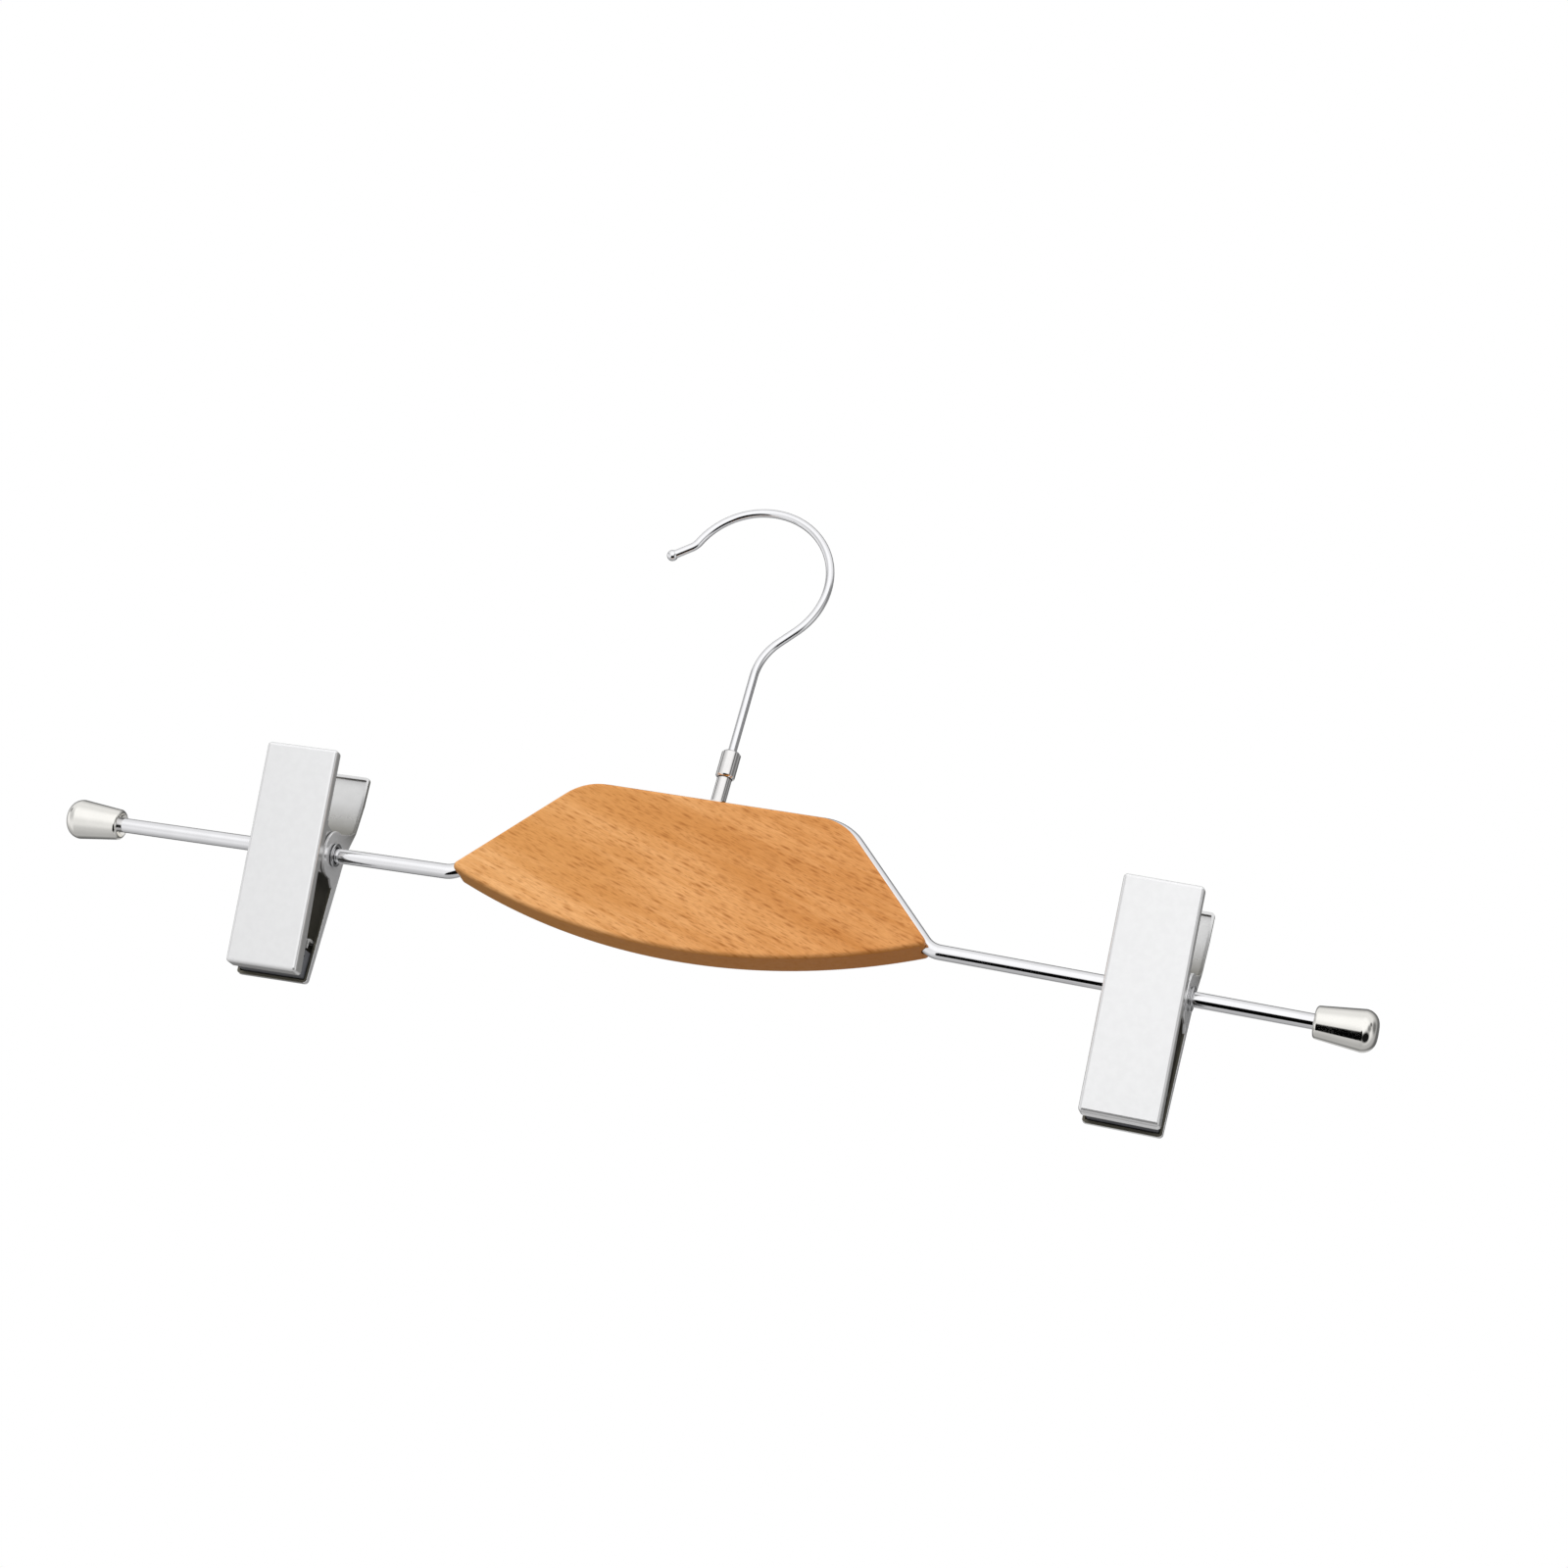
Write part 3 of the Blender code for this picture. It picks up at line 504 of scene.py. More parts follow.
def feed(tree, node, inputs):
    """Links a node's inputs to sockets, or gives them values."""
    for key, value in inputs.items():
        if isinstance(value, bpy.types.NodeSocket):
            tree.links.new(value, node.inputs[key])
        else:
            node.inputs[key].default_value = value


def add(tree, kind, inputs=None, **options):
    """A new node with its options set and its inputs fed."""
    made = tree.nodes.new(kind)
    for key, value in options.items():
        setattr(made, key, value)
    feed(tree, made, inputs or {})
    return made


def output(tree, kind, inputs=None, **options):
    """The first output of a new node."""
    return add(tree, kind, inputs, **options).outputs[0]


def new_group(name, kind, inputs, outputs):
    """A node group with named sockets, what it is given, and its output node."""
    tree = bpy.data.node_groups.new(name, kind)
    for way, sockets in (("INPUT", inputs), ("OUTPUT", outputs)):
        for label, sort in sockets.items():
            tree.interface.new_socket(name=label, in_out=way, socket_type="NodeSocket" + sort)
    return tree, add(tree, "NodeGroupInput").outputs, tree.nodes.new("NodeGroupOutput")


def end_tree(tree, out, geometry, finish):
    """The last nodes of each geometry tree: real geometry with its finish."""
    real = output(tree, "GeometryNodeRealizeInstances", {"Geometry": geometry})
    dressed = output(tree, "GeometryNodeSetMaterial", {"Geometry": real, "Material": finish})
    feed(tree, out, {"Piece": dressed})
    return tree


def wire_tree(name):
    """A round wire swept along a path whose points hold its radius."""
    tree, given, out = new_group(name, "GeometryNodeTree", {
        "Path": "Geometry", "Sides": "Int", "Finish": "Material"}, {"Piece": "Geometry"})
    path = output(tree, "GeometryNodeMeshToCurve", {"Mesh": given["Path"]})
    ring = output(tree, "GeometryNodeCurvePrimitiveCircle",
                  {"Resolution": given["Sides"], "Radius": 1.0})
    radius = add(tree, "GeometryNodeInputNamedAttribute", {"Name": "wire_radius"},
                 data_type="FLOAT").outputs["Attribute"]
    swept = output(tree, "GeometryNodeCurveToMesh",
                   {"Curve": path, "Profile Curve": ring, "Scale": radius, "Fill Caps": True})
    return end_tree(tree, out, swept, given["Finish"])


def groove_tree(name):
    """A pad with wedge shaped grooves cut across its face at an even pitch."""
    tree, given, out = new_group(name, "GeometryNodeTree", {
        "Pad": "Geometry", "Wedge": "Object", "Grooves": "Int", "First": "Vector",
        "Pitch": "Vector", "Finish": "Material"}, {"Piece": "Geometry"})
    places = output(tree, "GeometryNodeMeshLine",
                    {"Count": given["Grooves"], "Start Location": given["First"],
                     "Offset": given["Pitch"]}, mode="OFFSET")
    wedge = add(tree, "GeometryNodeObjectInfo", {"Object": given["Wedge"]}).outputs["Geometry"]
    cutters = output(tree, "GeometryNodeInstanceOnPoints", {"Points": places, "Instance": wedge})
    cutter = output(tree, "GeometryNodeRealizeInstances", {"Geometry": cutters})
    cut = output(tree, "GeometryNodeMeshBoolean", {"Mesh 1": given["Pad"], "Mesh 2": cutter},
                 operation="DIFFERENCE", solver="EXACT")
    return end_tree(tree, out, cut, given["Finish"])


def run_tree(mesh, name, build, values):
    """A plain mesh of what a tree makes from a mesh, its inputs set by identifier."""
    tree = once(bpy.data.node_groups, name, build)
    sockets = {item.identifier: values[item.name] for item in tree.interface.items_tree
               if item.in_out == "INPUT" and item.name in values}
    return modified(mesh, "NODES", sockets, node_group=tree)


def swept_wire(points, radii, sides, material):
    """A wire mesh along a path, by the wire tree."""
    mesh = bpy.data.meshes.new("path")
    edges = [(i, i + 1) for i in range(len(points) - 1)]
    mesh.from_pydata([tuple(p) for p in points], edges, [])
    attribute = mesh.attributes.new("wire_radius", "FLOAT", "POINT")
    attribute.data.foreach_set("value", radii)
    return smooth(run_tree(mesh, "Wire along a path", wire_tree,
                           {"Sides": sides, "Finish": material}))


# Finishes

def new_material(name):
    """A material with its tree, its Principled BSDF and the object's coordinates."""
    material = bpy.data.materials.new(name)
    material.use_nodes = True
    tree = material.node_tree
    place = add(tree, "ShaderNodeTexCoord").outputs["Object"]
    return material, tree, tree.nodes["Principled BSDF"], place


def maths(tree, operation, *values):
    """The result of an operation on sockets or numbers."""
    return output(tree, "ShaderNodeMath", dict(enumerate(values)), operation=operation)


def ramp(tree, value, low, high, start=0.0, end=1.0):
    """A value carried smoothly from one range to another."""
    return output(tree, "ShaderNodeMapRange", {
        "Value": value, "From Min": low, "From Max": high, "To Min": start, "To Max": end},
        interpolation_type="SMOOTHSTEP")


# A colour Mix node's sockets for the factor, both colours and the result
MIX_FACTOR, MIX_A, MIX_B, MIX_RESULT = 0, 6, 7, 2


def mixed(tree, amount, first, second, blend="MIX"):
    """Two colours mixed by an amount."""
    first, second = (value if isinstance(value, bpy.types.NodeSocket) else (*value, 1.0)
                     for value in (first, second))
    made = add(tree, "ShaderNodeMix", {MIX_FACTOR: amount, MIX_A: first, MIX_B: second},
               data_type="RGBA", blend_type=blend)
    return made.outputs[MIX_RESULT]


def noise(tree, place, scale, detail, roughness=0.55):
    return output(tree, "ShaderNodeTexNoise", {"Vector": place, "Scale": scale,
                                               "Detail": detail, "Roughness": roughness})


def bump(tree, height, strength, distance):
    return output(tree, "ShaderNodeBump", {"Height": height, "Strength": strength,
                                           "Distance": distance})


def group_node(tree, name, build, inputs):
    group = once(bpy.data.node_groups, name, build)
    return add(tree, "ShaderNodeGroup", inputs, node_tree=group).outputs


# The range of a noise that gloss and tone follow
NOISE_RANGE = (0.3, 0.7)
# Noise stretched along the grain: scale of each axis, detail, where it starts to show and
# shows in full, its share then, and its colour
GRAIN = {
    "bands": ((9.0, 60.0, 75.0), 3.0, 0.42, 0.66, 1.0, "beech_dark"),
    "fibres": ((70.0, 900.0, 1100.0), 4.0, 0.38, 0.70, 0.60, "beech_dark"),
    "hairs": ((330.0, 2600.0, 3200.0), 2.0, 0.40, 0.72, 0.30, "fleck"),
}
# Layers of pores: cell length and height, fineness, share of cells filled, strength
FLECKS = ((0.0068, 0.00120, 0.40, 0.75, 0.95), (0.0046, 0.00092, 0.42, 0.90, 0.95),
          (0.0024, 0.00050, 0.45, 0.90, 0.60))
# How far a pore reaches into the wood beside its height, and the darkness of the palest
FLECK_DEPTH = 0.3
FLECK_PALE = 0.4
# How far the rounded edges take on the edge colour: more orange, and darker as painted shade on
# the rim
EDGE_SHADE_SHARE = 0.85
BEECH_ROUGHNESS = (0.38, 0.48)
BEECH_GLOSS = 0.15
# Strength and depth
BEECH_BUMP = (0.15, 0.00005)


def fleck_group(name):
    """Short dashes along X, each cell of a stretched pattern holding one or none."""
    tree, given, out = new_group(name, "ShaderNodeTree", {
        "Place": "Vector", "Length": "Float", "Height": "Float", "Fineness": "Float",
        "Amount": "Float"}, {"Mask": "Float"})
    cell = output(tree, "ShaderNodeCombineXYZ", {
        "X": maths(tree, "DIVIDE", 1.0, given["Length"]),
        "Y": maths(tree, "DIVIDE", FLECK_DEPTH, given["Height"]),
        "Z": maths(tree, "DIVIDE", 1.0, given["Height"])})
    place = output(tree, "ShaderNodeVectorMath", {0: given["Place"], 1: cell},
                   operation="MULTIPLY")
    spots = add(tree, "ShaderNodeTexVoronoi", {"Vector": place, "Scale": 1.0}).outputs
    chance = add(tree, "ShaderNodeSeparateColor", {"Color": spots["Color"]}).outputs
    near = ramp(tree, spots["Distance"], given["Fineness"], 0.0)
    kept = maths(tree, "LESS_THAN", chance["Red"], given["Amount"])
    dark = maths(tree, "MULTIPLY_ADD", chance["Green"], 1.0 - FLECK_PALE, FLECK_PALE)
    mask = maths(tree, "MULTIPLY", maths(tree, "MULTIPLY", near, kept), dark)
    feed(tree, out, {"Mask": mask})
    return tree


def mottle_group(name):
    """Soft uneven patches and a fine grain for plated metal."""
    tree, given, out = new_group(name, "ShaderNodeTree", {
        "Place": "Vector", "Patch size": "Float", "Grain size": "Float"},
        {"Patches": "Float", "Grain": "Float"})
    for label, size, detail in (("Patches", "Patch size", 3.0), ("Grain", "Grain size", 2.0)):
        scale = maths(tree, "DIVIDE", 1.0, given[size])
        feed(tree, out, {label: noise(tree, given["Place"], scale, detail)})
    return tree


def pores(tree, laid):
    """Where the layers of pores darken the wood."""
    dark = 0.0
    for cell_length, cell_height, fineness, amount, strength in FLECKS:
        mask = group_node(tree, "Short flecks", fleck_group,
                          {"Place": laid, "Length": cell_length, "Height": cell_height,
                           "Fineness": fineness, "Amount": amount})["Mask"]
        dark = maths(tree, "MAXIMUM", maths(tree, "MULTIPLY", mask, strength), dark)
    return dark


def beech_varnished(name):
    """Satin varnished beech: bands, fibres, short dark pores, and edges made darker with painted
    shade.
    """
    look = settings().finish
    plate = settings().plate
    material, tree, shader, place = new_material(name)
    laid = output(tree, "ShaderNodeMapping",
                  {"Vector": place, "Rotation": (0, look.grain_tilt, 0)}, vector_type="TEXTURE")
    wood = look.beech_light
    seen = {}
    for layer, (scale, detail, low, high, full, tint) in GRAIN.items():
        stretched = output(tree, "ShaderNodeMapping", {"Vector": laid, "Scale": scale})
        seen[layer] = noise(tree, stretched, 1.0, detail)
        amount = ramp(tree, seen[layer], low, high, 0.0, full)
        wood = mixed(tree, amount, wood, getattr(look, tint))
    dark = pores(tree, laid)
    wood = mixed(tree, dark, wood, look.fleck)
    split = add(tree, "ShaderNodeSeparateXYZ", {"Vector": place}).outputs
    half = plate.thickness / 2
    # Painted shade on the rounded rim, which also turns more orange
    edge = ramp(tree, maths(tree, "ABSOLUTE", split["Y"]), half, half - plate.edge_radius,
                0.0, EDGE_SHADE_SHARE)
    wood = mixed(tree, edge, wood, look.edge)
    # The wood darker towards the plate's right end
    right_end_tint = ramp(tree, split["X"], -plate.width / 2, plate.width / 2)
    feed(tree, shader, {
        "Base Color": mixed(tree, right_end_tint, wood, look.right_end_tint, "MULTIPLY"),
        "Roughness": ramp(tree, seen["fibres"], *NOISE_RANGE, *BEECH_ROUGHNESS),
        "Normal": bump(tree, maths(tree, "SUBTRACT", 1.0, dark), *BEECH_BUMP),
        "Specular IOR Level": BEECH_GLOSS})
    return material


# Plated finishes: colour, roughness where smooth and rough, size of the patches, height of
# the grain's bump, and how metallic it is
PLATED = {
    "wire_chrome": ("chrome", 0.05, 0.10, 0.004, 0.02, 1.0),
    "turned_nickel": ("nickel", 0.07, 0.13, 0.005, 0.02, 1.0),
    "swivel_chrome": ("swivel", 0.10, 0.18, 0.003, 0.04, 1.0),
    "sheet_satin": ("steel", 0.15, 0.17, 0.002, 0.05, 0.6),
    "tube_steel": ("tube", 0.12, 0.20, 0.003, 0.05, 1.0),
    "coil_steel": ("spring", 0.22, 0.34, 0.002, 0.10, 1.0),
}
# Patches over the grain in size, their duller tone, the noise of the grain and how far it
# dulls, the depth of its bump, and the roughness added where shade is painted
PATCH_TO_GRAIN = 8
DULL_TONE = 0.965
GRAIN_DULLS = (0.35, 0.75, 0.0, 0.5)
METAL_BUMP_DEPTH = 0.00002
PAINTED_SHADE_ROUGHNESS = 0.2


def plated(name):
    """Plated metal whose gloss and tone vary a little, darker and rougher where shade is painted.
    """
    key, smooth_level, rough_level, patch_size, grain_bump, metal = PLATED[name]
    material, tree, shader, place = new_material(name)
    uneven = group_node(tree, "Uneven plating", mottle_group,
                        {"Place": place, "Patch size": patch_size,
                         "Grain size": patch_size / PATCH_TO_GRAIN})
    tint = tuple(getattr(settings().finish, key))
    dull = tuple(DULL_TONE * part for part in tint)
    bright = mixed(tree, ramp(tree, uneven["Patches"], *NOISE_RANGE), tint, dull)
    bright = mixed(tree, ramp(tree, uneven["Grain"], *GRAIN_DULLS), bright, dull)
    # Painted shade: the inside attribute's share darkens the colour towards the inside colour and
    # adds roughness
    painted_shade = add(tree, "ShaderNodeAttribute", attribute_name="inside").outputs["Fac"]
    rough = ramp(tree, uneven["Patches"], *NOISE_RANGE, smooth_level, rough_level)
    wear_and_shade = maths(tree, "MULTIPLY", painted_shade, PAINTED_SHADE_ROUGHNESS)
    feed(tree, shader, {
        "Base Color": mixed(tree, painted_shade, bright, settings().finish.inside),
        "Roughness": maths(tree, "ADD", rough, wear_and_shade),
        "Normal": bump(tree, uneven["Grain"], grain_bump, METAL_BUMP_DEPTH),
        "Metallic": metal})
    return material


# Sizes of the rubber's patches and skin, how much paler it is where it is worn, its
# roughness, and the strength and depth of its bump
RUBBER_PATCH = 0.003
RUBBER_SKIN = 0.00025
RUBBER_WORN = 1.6
RUBBER_ROUGHNESS = (0.50, 0.62)
RUBBER_BUMP = (0.25, 0.00004)


def grip_rubber(name):
    """Matte black rubber with a fine skin."""
    material, tree, shader, place = new_material(name)
    skin = group_node(tree, "Uneven plating", mottle_group,
                      {"Place": place, "Patch size": RUBBER_PATCH, "Grain size": RUBBER_SKIN})
    tint = tuple(settings().finish.rubber)
    wear_and_shade = tuple(RUBBER_WORN * part for part in tint)
    feed(tree, shader, {
        "Base Color": mixed(tree, skin["Patches"], tint, wear_and_shade),
        "Roughness": ramp(tree, skin["Patches"], *NOISE_RANGE, *RUBBER_ROUGHNESS),
        "Normal": bump(tree, skin["Grain"], *RUBBER_BUMP)})
    return material


def finish_named(name):
    """A finish of the hanger's pieces, by its material's name."""
    build = {"beech_varnished": beech_varnished, "grip_rubber": grip_rubber}.get(name, plated)
    return once(bpy.data.materials, name, build)


# Bar wire

def at_foot(x, z):
    """A point of the hanger's drawing, in the row's frame."""
    return FOOT + Vector((x, 0, z))


def arm_point(side, place):
    """A point of an arm's centre line in the drawing, place measured from the middle."""
    half = settings().plate.width / 2
    run = place - half
    droop = settings().bar.droop
    return Vector((side * (half + run * math.cos(droop)), -run * math.sin(droop)))


def plate_corners():
    """The corner of the plate's top and shoulder, and its tip, on the right."""
    plate = settings().plate
    return vectors((plate.top_width / 2, plate.shoulder_height), (plate.width / 2, 0))


def bar_line(reach):
    """The bar's centre line from the left end to the right end."""
    bar = settings().bar
    top, tip = plate_corners()
    sunk = offset_line([Vector((0, top.y)), top, tip], -bar.sink)
    right = [sunk[1], Vector((tip.x - bar.sink, 0)), arm_point(1, reach)]
    left = [Vector((-p.x, p.y)) for p in right]
    radii = [bar.corner_bend, bar.tip_bend, 0]
    return [at_foot(*p) for p in rounded(left[::-1] + right, radii[::-1] + radii)]


def bar_bore():
    """The radius of a hole that the bar wire runs through."""
    return settings().bar.diameter / 2 + GAP


class HANGER_OT_bar(bpy.types.Operator):
    """Bend the bar wire along the plate's top and out into the two arms"""
    bl_idname = "hanger.bar"
    bl_label = "Bar wire"

    def execute(self, context):
        bar = settings().bar
        points = bar_line(bar.overall / 2 - settings().cap.end_wall - GAP)
        finish = finish_named("wire_chrome")
        mesh = swept_wire(points, [bar.diameter / 2] * len(points), WIRE_SIDES, finish)
        fit("bar", mesh, finish, "hanger", "bar_wire")
        return {"FINISHED"}


# Wooden plate

def plate_outline():
    """The plate's edge with its rounded corners and curved belly."""
    plate = settings().plate
    top, tip = plate_corners()
    corners = [Vector((-tip.x, tip.y)), Vector((-top.x, top.y)), top, tip]
    radii = [plate.tip_radius, plate.corner_radius, plate.corner_radius, plate.tip_radius]
    radius = (tip.x ** 2 + plate.belly ** 2) / (2 * plate.belly)
    centre = Vector((0, radius - plate.belly))
    half_deg = math.degrees(math.asin(tip.x / radius))
    belly = arc(centre, radius, -90 + half_deg, -90 - half_deg, BELLY_STEP)[1:-1]
    return rounded(corners + belly, radii + [0] * len(belly), closed=True)


class HANGER_OT_plate(bpy.types.Operator):
    """Cut the beech plate, round its edges and plough the groove for the bar"""
    bl_idname = "hanger.plate"
    bl_label = "Wooden plate"

    def execute(self, context):
        plate = settings().plate
        bm = prism(plate_outline(), plate.thickness)
        rim = [e for e in bm.edges if any(len(f.verts) > 4 for f in e.link_faces)]
        mesh = round_edges(bm, rim, plate.edge_radius, PLATE_SEGMENTS)
        mesh.transform(Matrix.Translation(FOOT) @ Matrix.Rotation(-QUARTER, 4, "Z"))
        finish = finish_named("beech_varnished")
        points = bar_line(plate.width / 2 + OVERRUN)
        groove = swept_wire(points, [bar_bore()] * len(points), WIRE_SIDES, finish)
        mesh = shaded(boolean(mesh, groove))
        fit("plate", mesh, finish, "hanger", "wooden_plate")
        return {"FINISHED"}


# End caps

def cap_profile():
    """The cap from its inner end out, the bore first, as (x, radius)."""
    cap = settings().cap
    bore = bar_bore()
    mouth = bore + cap.mouth_flare
    neck = mouth + cap.neck_wall
    outer = neck + cap.swell
    rim = arc(Vector((cap.rim_radius, neck - cap.rim_radius)), cap.rim_radius, 180, RIM_END,
              RIM_STEP)
    end = cap.length - TRIM
    dome_at = Vector((end - cap.dome_radius, outer - cap.dome_radius))
    dome = arc(dome_at, cap.dome_radius, 90, DOME_END)
    floor = cap.length - cap.end_wall
    inside = vectors((floor, 0), (floor, bore), (cap.mouth_depth, bore),
                     (cap.rim_radius / 2, mouth), (0, mouth + cap.rim_radius / 4))
    return inside + rim + dome + [Vector((end, 0))]


class HANGER_OT_caps(bpy.types.Operator):
    """Turn the two end caps"""
    bl_idname = "hanger.caps"
    bl_label = "End caps"

    def execute(self, context):
        mesh = shaded(turned(cap_profile()))
        finish = finish_named("turned_nickel")
        inner = settings().bar.overall / 2 - settings().cap.length
        droop = settings().bar.droop
        for side, name, turn in ((-1, "left", math.pi - droop), (1, "right", droop)):
            start = Matrix.Translation(at_foot(*arm_point(side, inner)))
            fit("cap_" + name, mesh, finish, "hanger", "end_cap_" + name,
                start @ Matrix.Rotation(turn, 4, "Y"))
        return {"FINISHED"}


# Hook and swivel

def barrel_foot():
    return settings().plate.shoulder_height + settings().swivel.stud_height + GAP


def barrel_top():
    return barrel_foot() + settings().swivel.barrel_length


def hook_line():
    """The hook's centre line from the head up, round the crown and out to the ball's centre."""
    hook = settings().hook
    centre = Vector((-FOOT.x, -FOOT.z - hook.radius + hook.diameter / 2))
    start = centre + hook.radius * heading(hook.leave)
    down = Vector((math.sin(hook.leave), -math.cos(hook.leave)))
    neck = start + down * (start.x / -down.x)
    foot = Vector((0, barrel_top() - settings().swivel.barrel_lip - GAP - hook.head_length))
    stem = rounded([foot, neck, start], [0, hook.neck_radius, 0])
    turn_out_deg = math.degrees(hook.turn_out)
    crown = arc(centre, hook.radius, math.degrees(hook.leave), turn_out_deg)
    lip = arc(crown[-1] + heading(hook.turn_out) * hook.lip_radius, hook.lip_radius,
              turn_out_deg - 180, math.degrees(hook.lip_slope) - 90)
    ahead = -heading(hook.lip_slope)
    return stem[:-1] + crown + lip[1:], lip[-1] + hook.lip_length * ahead


class HANGER_OT_hook(bpy.types.Operator):
    """Bend the hook, with its upset head in the barrel and the ball at its tip"""
    bl_idname = "hanger.hook"
    bl_label = "Hook"

    def execute(self, context):
        hook = settings().hook
        wire = hook.diameter / 2
        line, end = hook_line()
        rises = (0, hook.head_length - hook.head_step, hook.head_length)
        head = [line[0] + Vector((0, rise)) for rise in rises]
        radii = [wire + hook.head_step] * 2 + [wire] * len(line)
        line = head + line[1:]
        ball = hook.ball / 2
        along = (end - line[-1]).normalized()
        opening_deg = math.degrees(math.asin(wire / ball))
        for point in arc(Vector((0, 0)), ball, 180 - opening_deg, BALL_END, BALL_STEP):
            line.append(end + along * point.x)
            radii.append(point.y)
        finish = finish_named("wire_chrome")
        mesh = swept_wire([at_foot(*p) for p in line], radii, WIRE_SIDES, finish)
        fit("hook_wire", mesh, finish, "hook", "hook")
        return {"FINISHED"}


def upright(mesh):
    """A body turned about X, stood on Z above the foot of the stem."""
    mesh.transform(Matrix.Translation(FOOT) @ Matrix.Rotation(-QUARTER, 4, "Y"))
    return mesh


def head_radius():
    return settings().hook.diameter / 2 + settings().hook.head_step


def barrel_mesh():
    """The sleeve round the hook's head, open below and closed round the wire above."""
    swivel = settings().swivel
    hole = settings().hook.diameter / 2 + GAP
    bore = head_radius() + GAP
    outer = bore + swivel.barrel_wall
    rim = outer - swivel.chamfer
    foot = barrel_foot()
    top = barrel_top()
    under = top - swivel.barrel_lip
    profile = [(foot, bore), (foot, rim), (foot + swivel.chamfer, outer),
               (top - swivel.chamfer, outer), (top, rim), (top, hole), (under, hole),
               (under, bore)]
    return shaded(softened(upright(turned(profile, closed=True)), settings().jaw.cut_edge))


def stud_mesh():
    """The stud that carries the barrel, its flared foot saddled on the bar wire."""
    plate = settings().plate
    swivel = settings().swivel
    spigot = head_radius()
    body = spigot + swivel.stud_shoulder
    foot = plate.shoulder_height + GAP
    shoulder = plate.shoulder_height + swivel.stud_height
    flare = body + swivel.foot_flare
    profile = [(foot, 0), (foot, flare), (foot + swivel.foot_flare, flare),
               (foot + swivel.foot_height, body), (shoulder, body), (shoulder, spigot),
               (shoulder + swivel.spigot, spigot), (shoulder + swivel.spigot, 0)]
    height = plate.shoulder_height - settings().bar.sink
    reach = flare + OVERRUN
    route = [at_foot(-reach, height), at_foot(reach, height)]
    saddle = swept_wire(route, [bar_bore()] * 2, WIRE_SIDES, None)
    return shaded(boolean(upright(turned(profile)), saddle))


class HANGER_OT_swivel(bpy.types.Operator):
    """Turn the barrel that holds the hook and the stud that carries it"""
    bl_idname = "hanger.swivel"
    bl_label = "Swivel barrel and stud"

    def execute(self, context):
        finish = finish_named("swivel_chrome")
        fit("barrel", barrel_mesh(), finish, "hanger", "swivel_barrel")
        fit("stud", stud_mesh(), finish, "hanger", "swivel_stud")
        return {"FINISHED"}


# Clips, drawn round their pivot: y to the back, z up

def clip_places():
    """Each clip's name and the place of its drawing in the row's frame."""
    hang = Matrix.Rotation(settings().jaw.hang, 4, "X")
    for name in ("left", "right"):
        joint = JOINTS[name + "_clip_swing"]
        along = Vector(joint["axis"])
        lean = Matrix.Rotation(-math.atan2(along.z, along.x), 4, "Y")
        yield name, Matrix.Translation(Vector(joint["pos_m"])) @ lean @ hang


def fit_clips(finish, parts):
    """Fits parts to both clips: each a mesh, with the ends of its name, body and node."""
    for clip, place in clip_places():
        for mesh, name, body, node in parts:
            fit(clip + name, mesh, finish, clip + body, clip + node, place)


def front_line():
    """The front jaw's outer face from tip to top."""
    jaw = settings().jaw
    return vectors((-jaw.front_tip_depth, TRIM - jaw.front_tip),
                   (TRIM - jaw.front_top_depth, jaw.front_top))


def rear_line():
    """The rear jaw's outer face from tip to tab."""
    jaw = settings().jaw
    return vectors((jaw.rear_tip_depth, TRIM - jaw.rear_tip), (jaw.rear_depth, jaw.knee_low),
                   (jaw.tab_foot_depth, jaw.knee_high),
                   (jaw.tab_bulge_depth, jaw.tab_bulge_height), (jaw.tab_top_depth, jaw.tab_top))


def folded_prism(outline, width, line, radius, segments):
    """A prism whose edges along a line of its outline are folded to a radius."""
    bm = prism(outline, width)
    near = settings().jaw.sheet / 4
    on_face = {v for v in bm.verts if abs(v.co.y - depth_on(line, v.co.z)) < near}
    edges = [e for e in bm.edges
             if on_face.intersection(e.verts) and e.calc_face_angle(0) > math.radians(FOLD)]
    return round_edges(bm, edges, radius, segments)


def folded_sheet(outline, inner_line, open_depth, edge_line):
    """A tray of folded sheet: a prism with rounded outer edges, hollowed from its open side."""
    jaw = settings().jaw
    shell = folded_prism(outline, jaw.width, edge_line, jaw.fold_radius, FOLD_SEGMENTS)
    low = inner_line[0].y + jaw.sheet
    high = inner_line[-1].y - jaw.sheet
    pocket = [Vector((depth_on(inner_line, low), low))] + inner_line[1:-1]
    pocket += vectors((depth_on(inner_line, high), high), (open_depth, high), (open_depth, low))
    hollow = folded_prism(pocket, jaw.width - 2 * jaw.sheet, inner_line,
                          jaw.fold_radius - jaw.sheet, INNER_FOLD_SEGMENTS)
    return boolean(shell, hollow)


# Heights over the pivot, and the share of painted shade there: on a jaw's inside, and as painted
# dark reflection on the sides of the front jaw and of the tab; and the painted shade on the tab's
# lower lip
INSIDE_SHADE_SHARES = ((-0.004, 1.0), (0.0025, 0.90), (0.0100, 0.82), (0.0135, 0.70), (0.0165, 0.28),
                 (0.0250, 0.20))
FRONT_SIDE_SHADE_SHARES = ((-0.0400, 0.40), (0.0300, 0.40))
TAB_SIDE_SHADE_SHARES = ((0.0060, 0.0), (0.0095, 0.80), (0.0250, 0.90))
TAB_LIP_SHADE_SHARE = 0.95
# How squarely a face looks inwards, sideways or down to be marked
INWARD, SIDEWAYS, DOWNWARD = 0.3, 0.9, -0.7


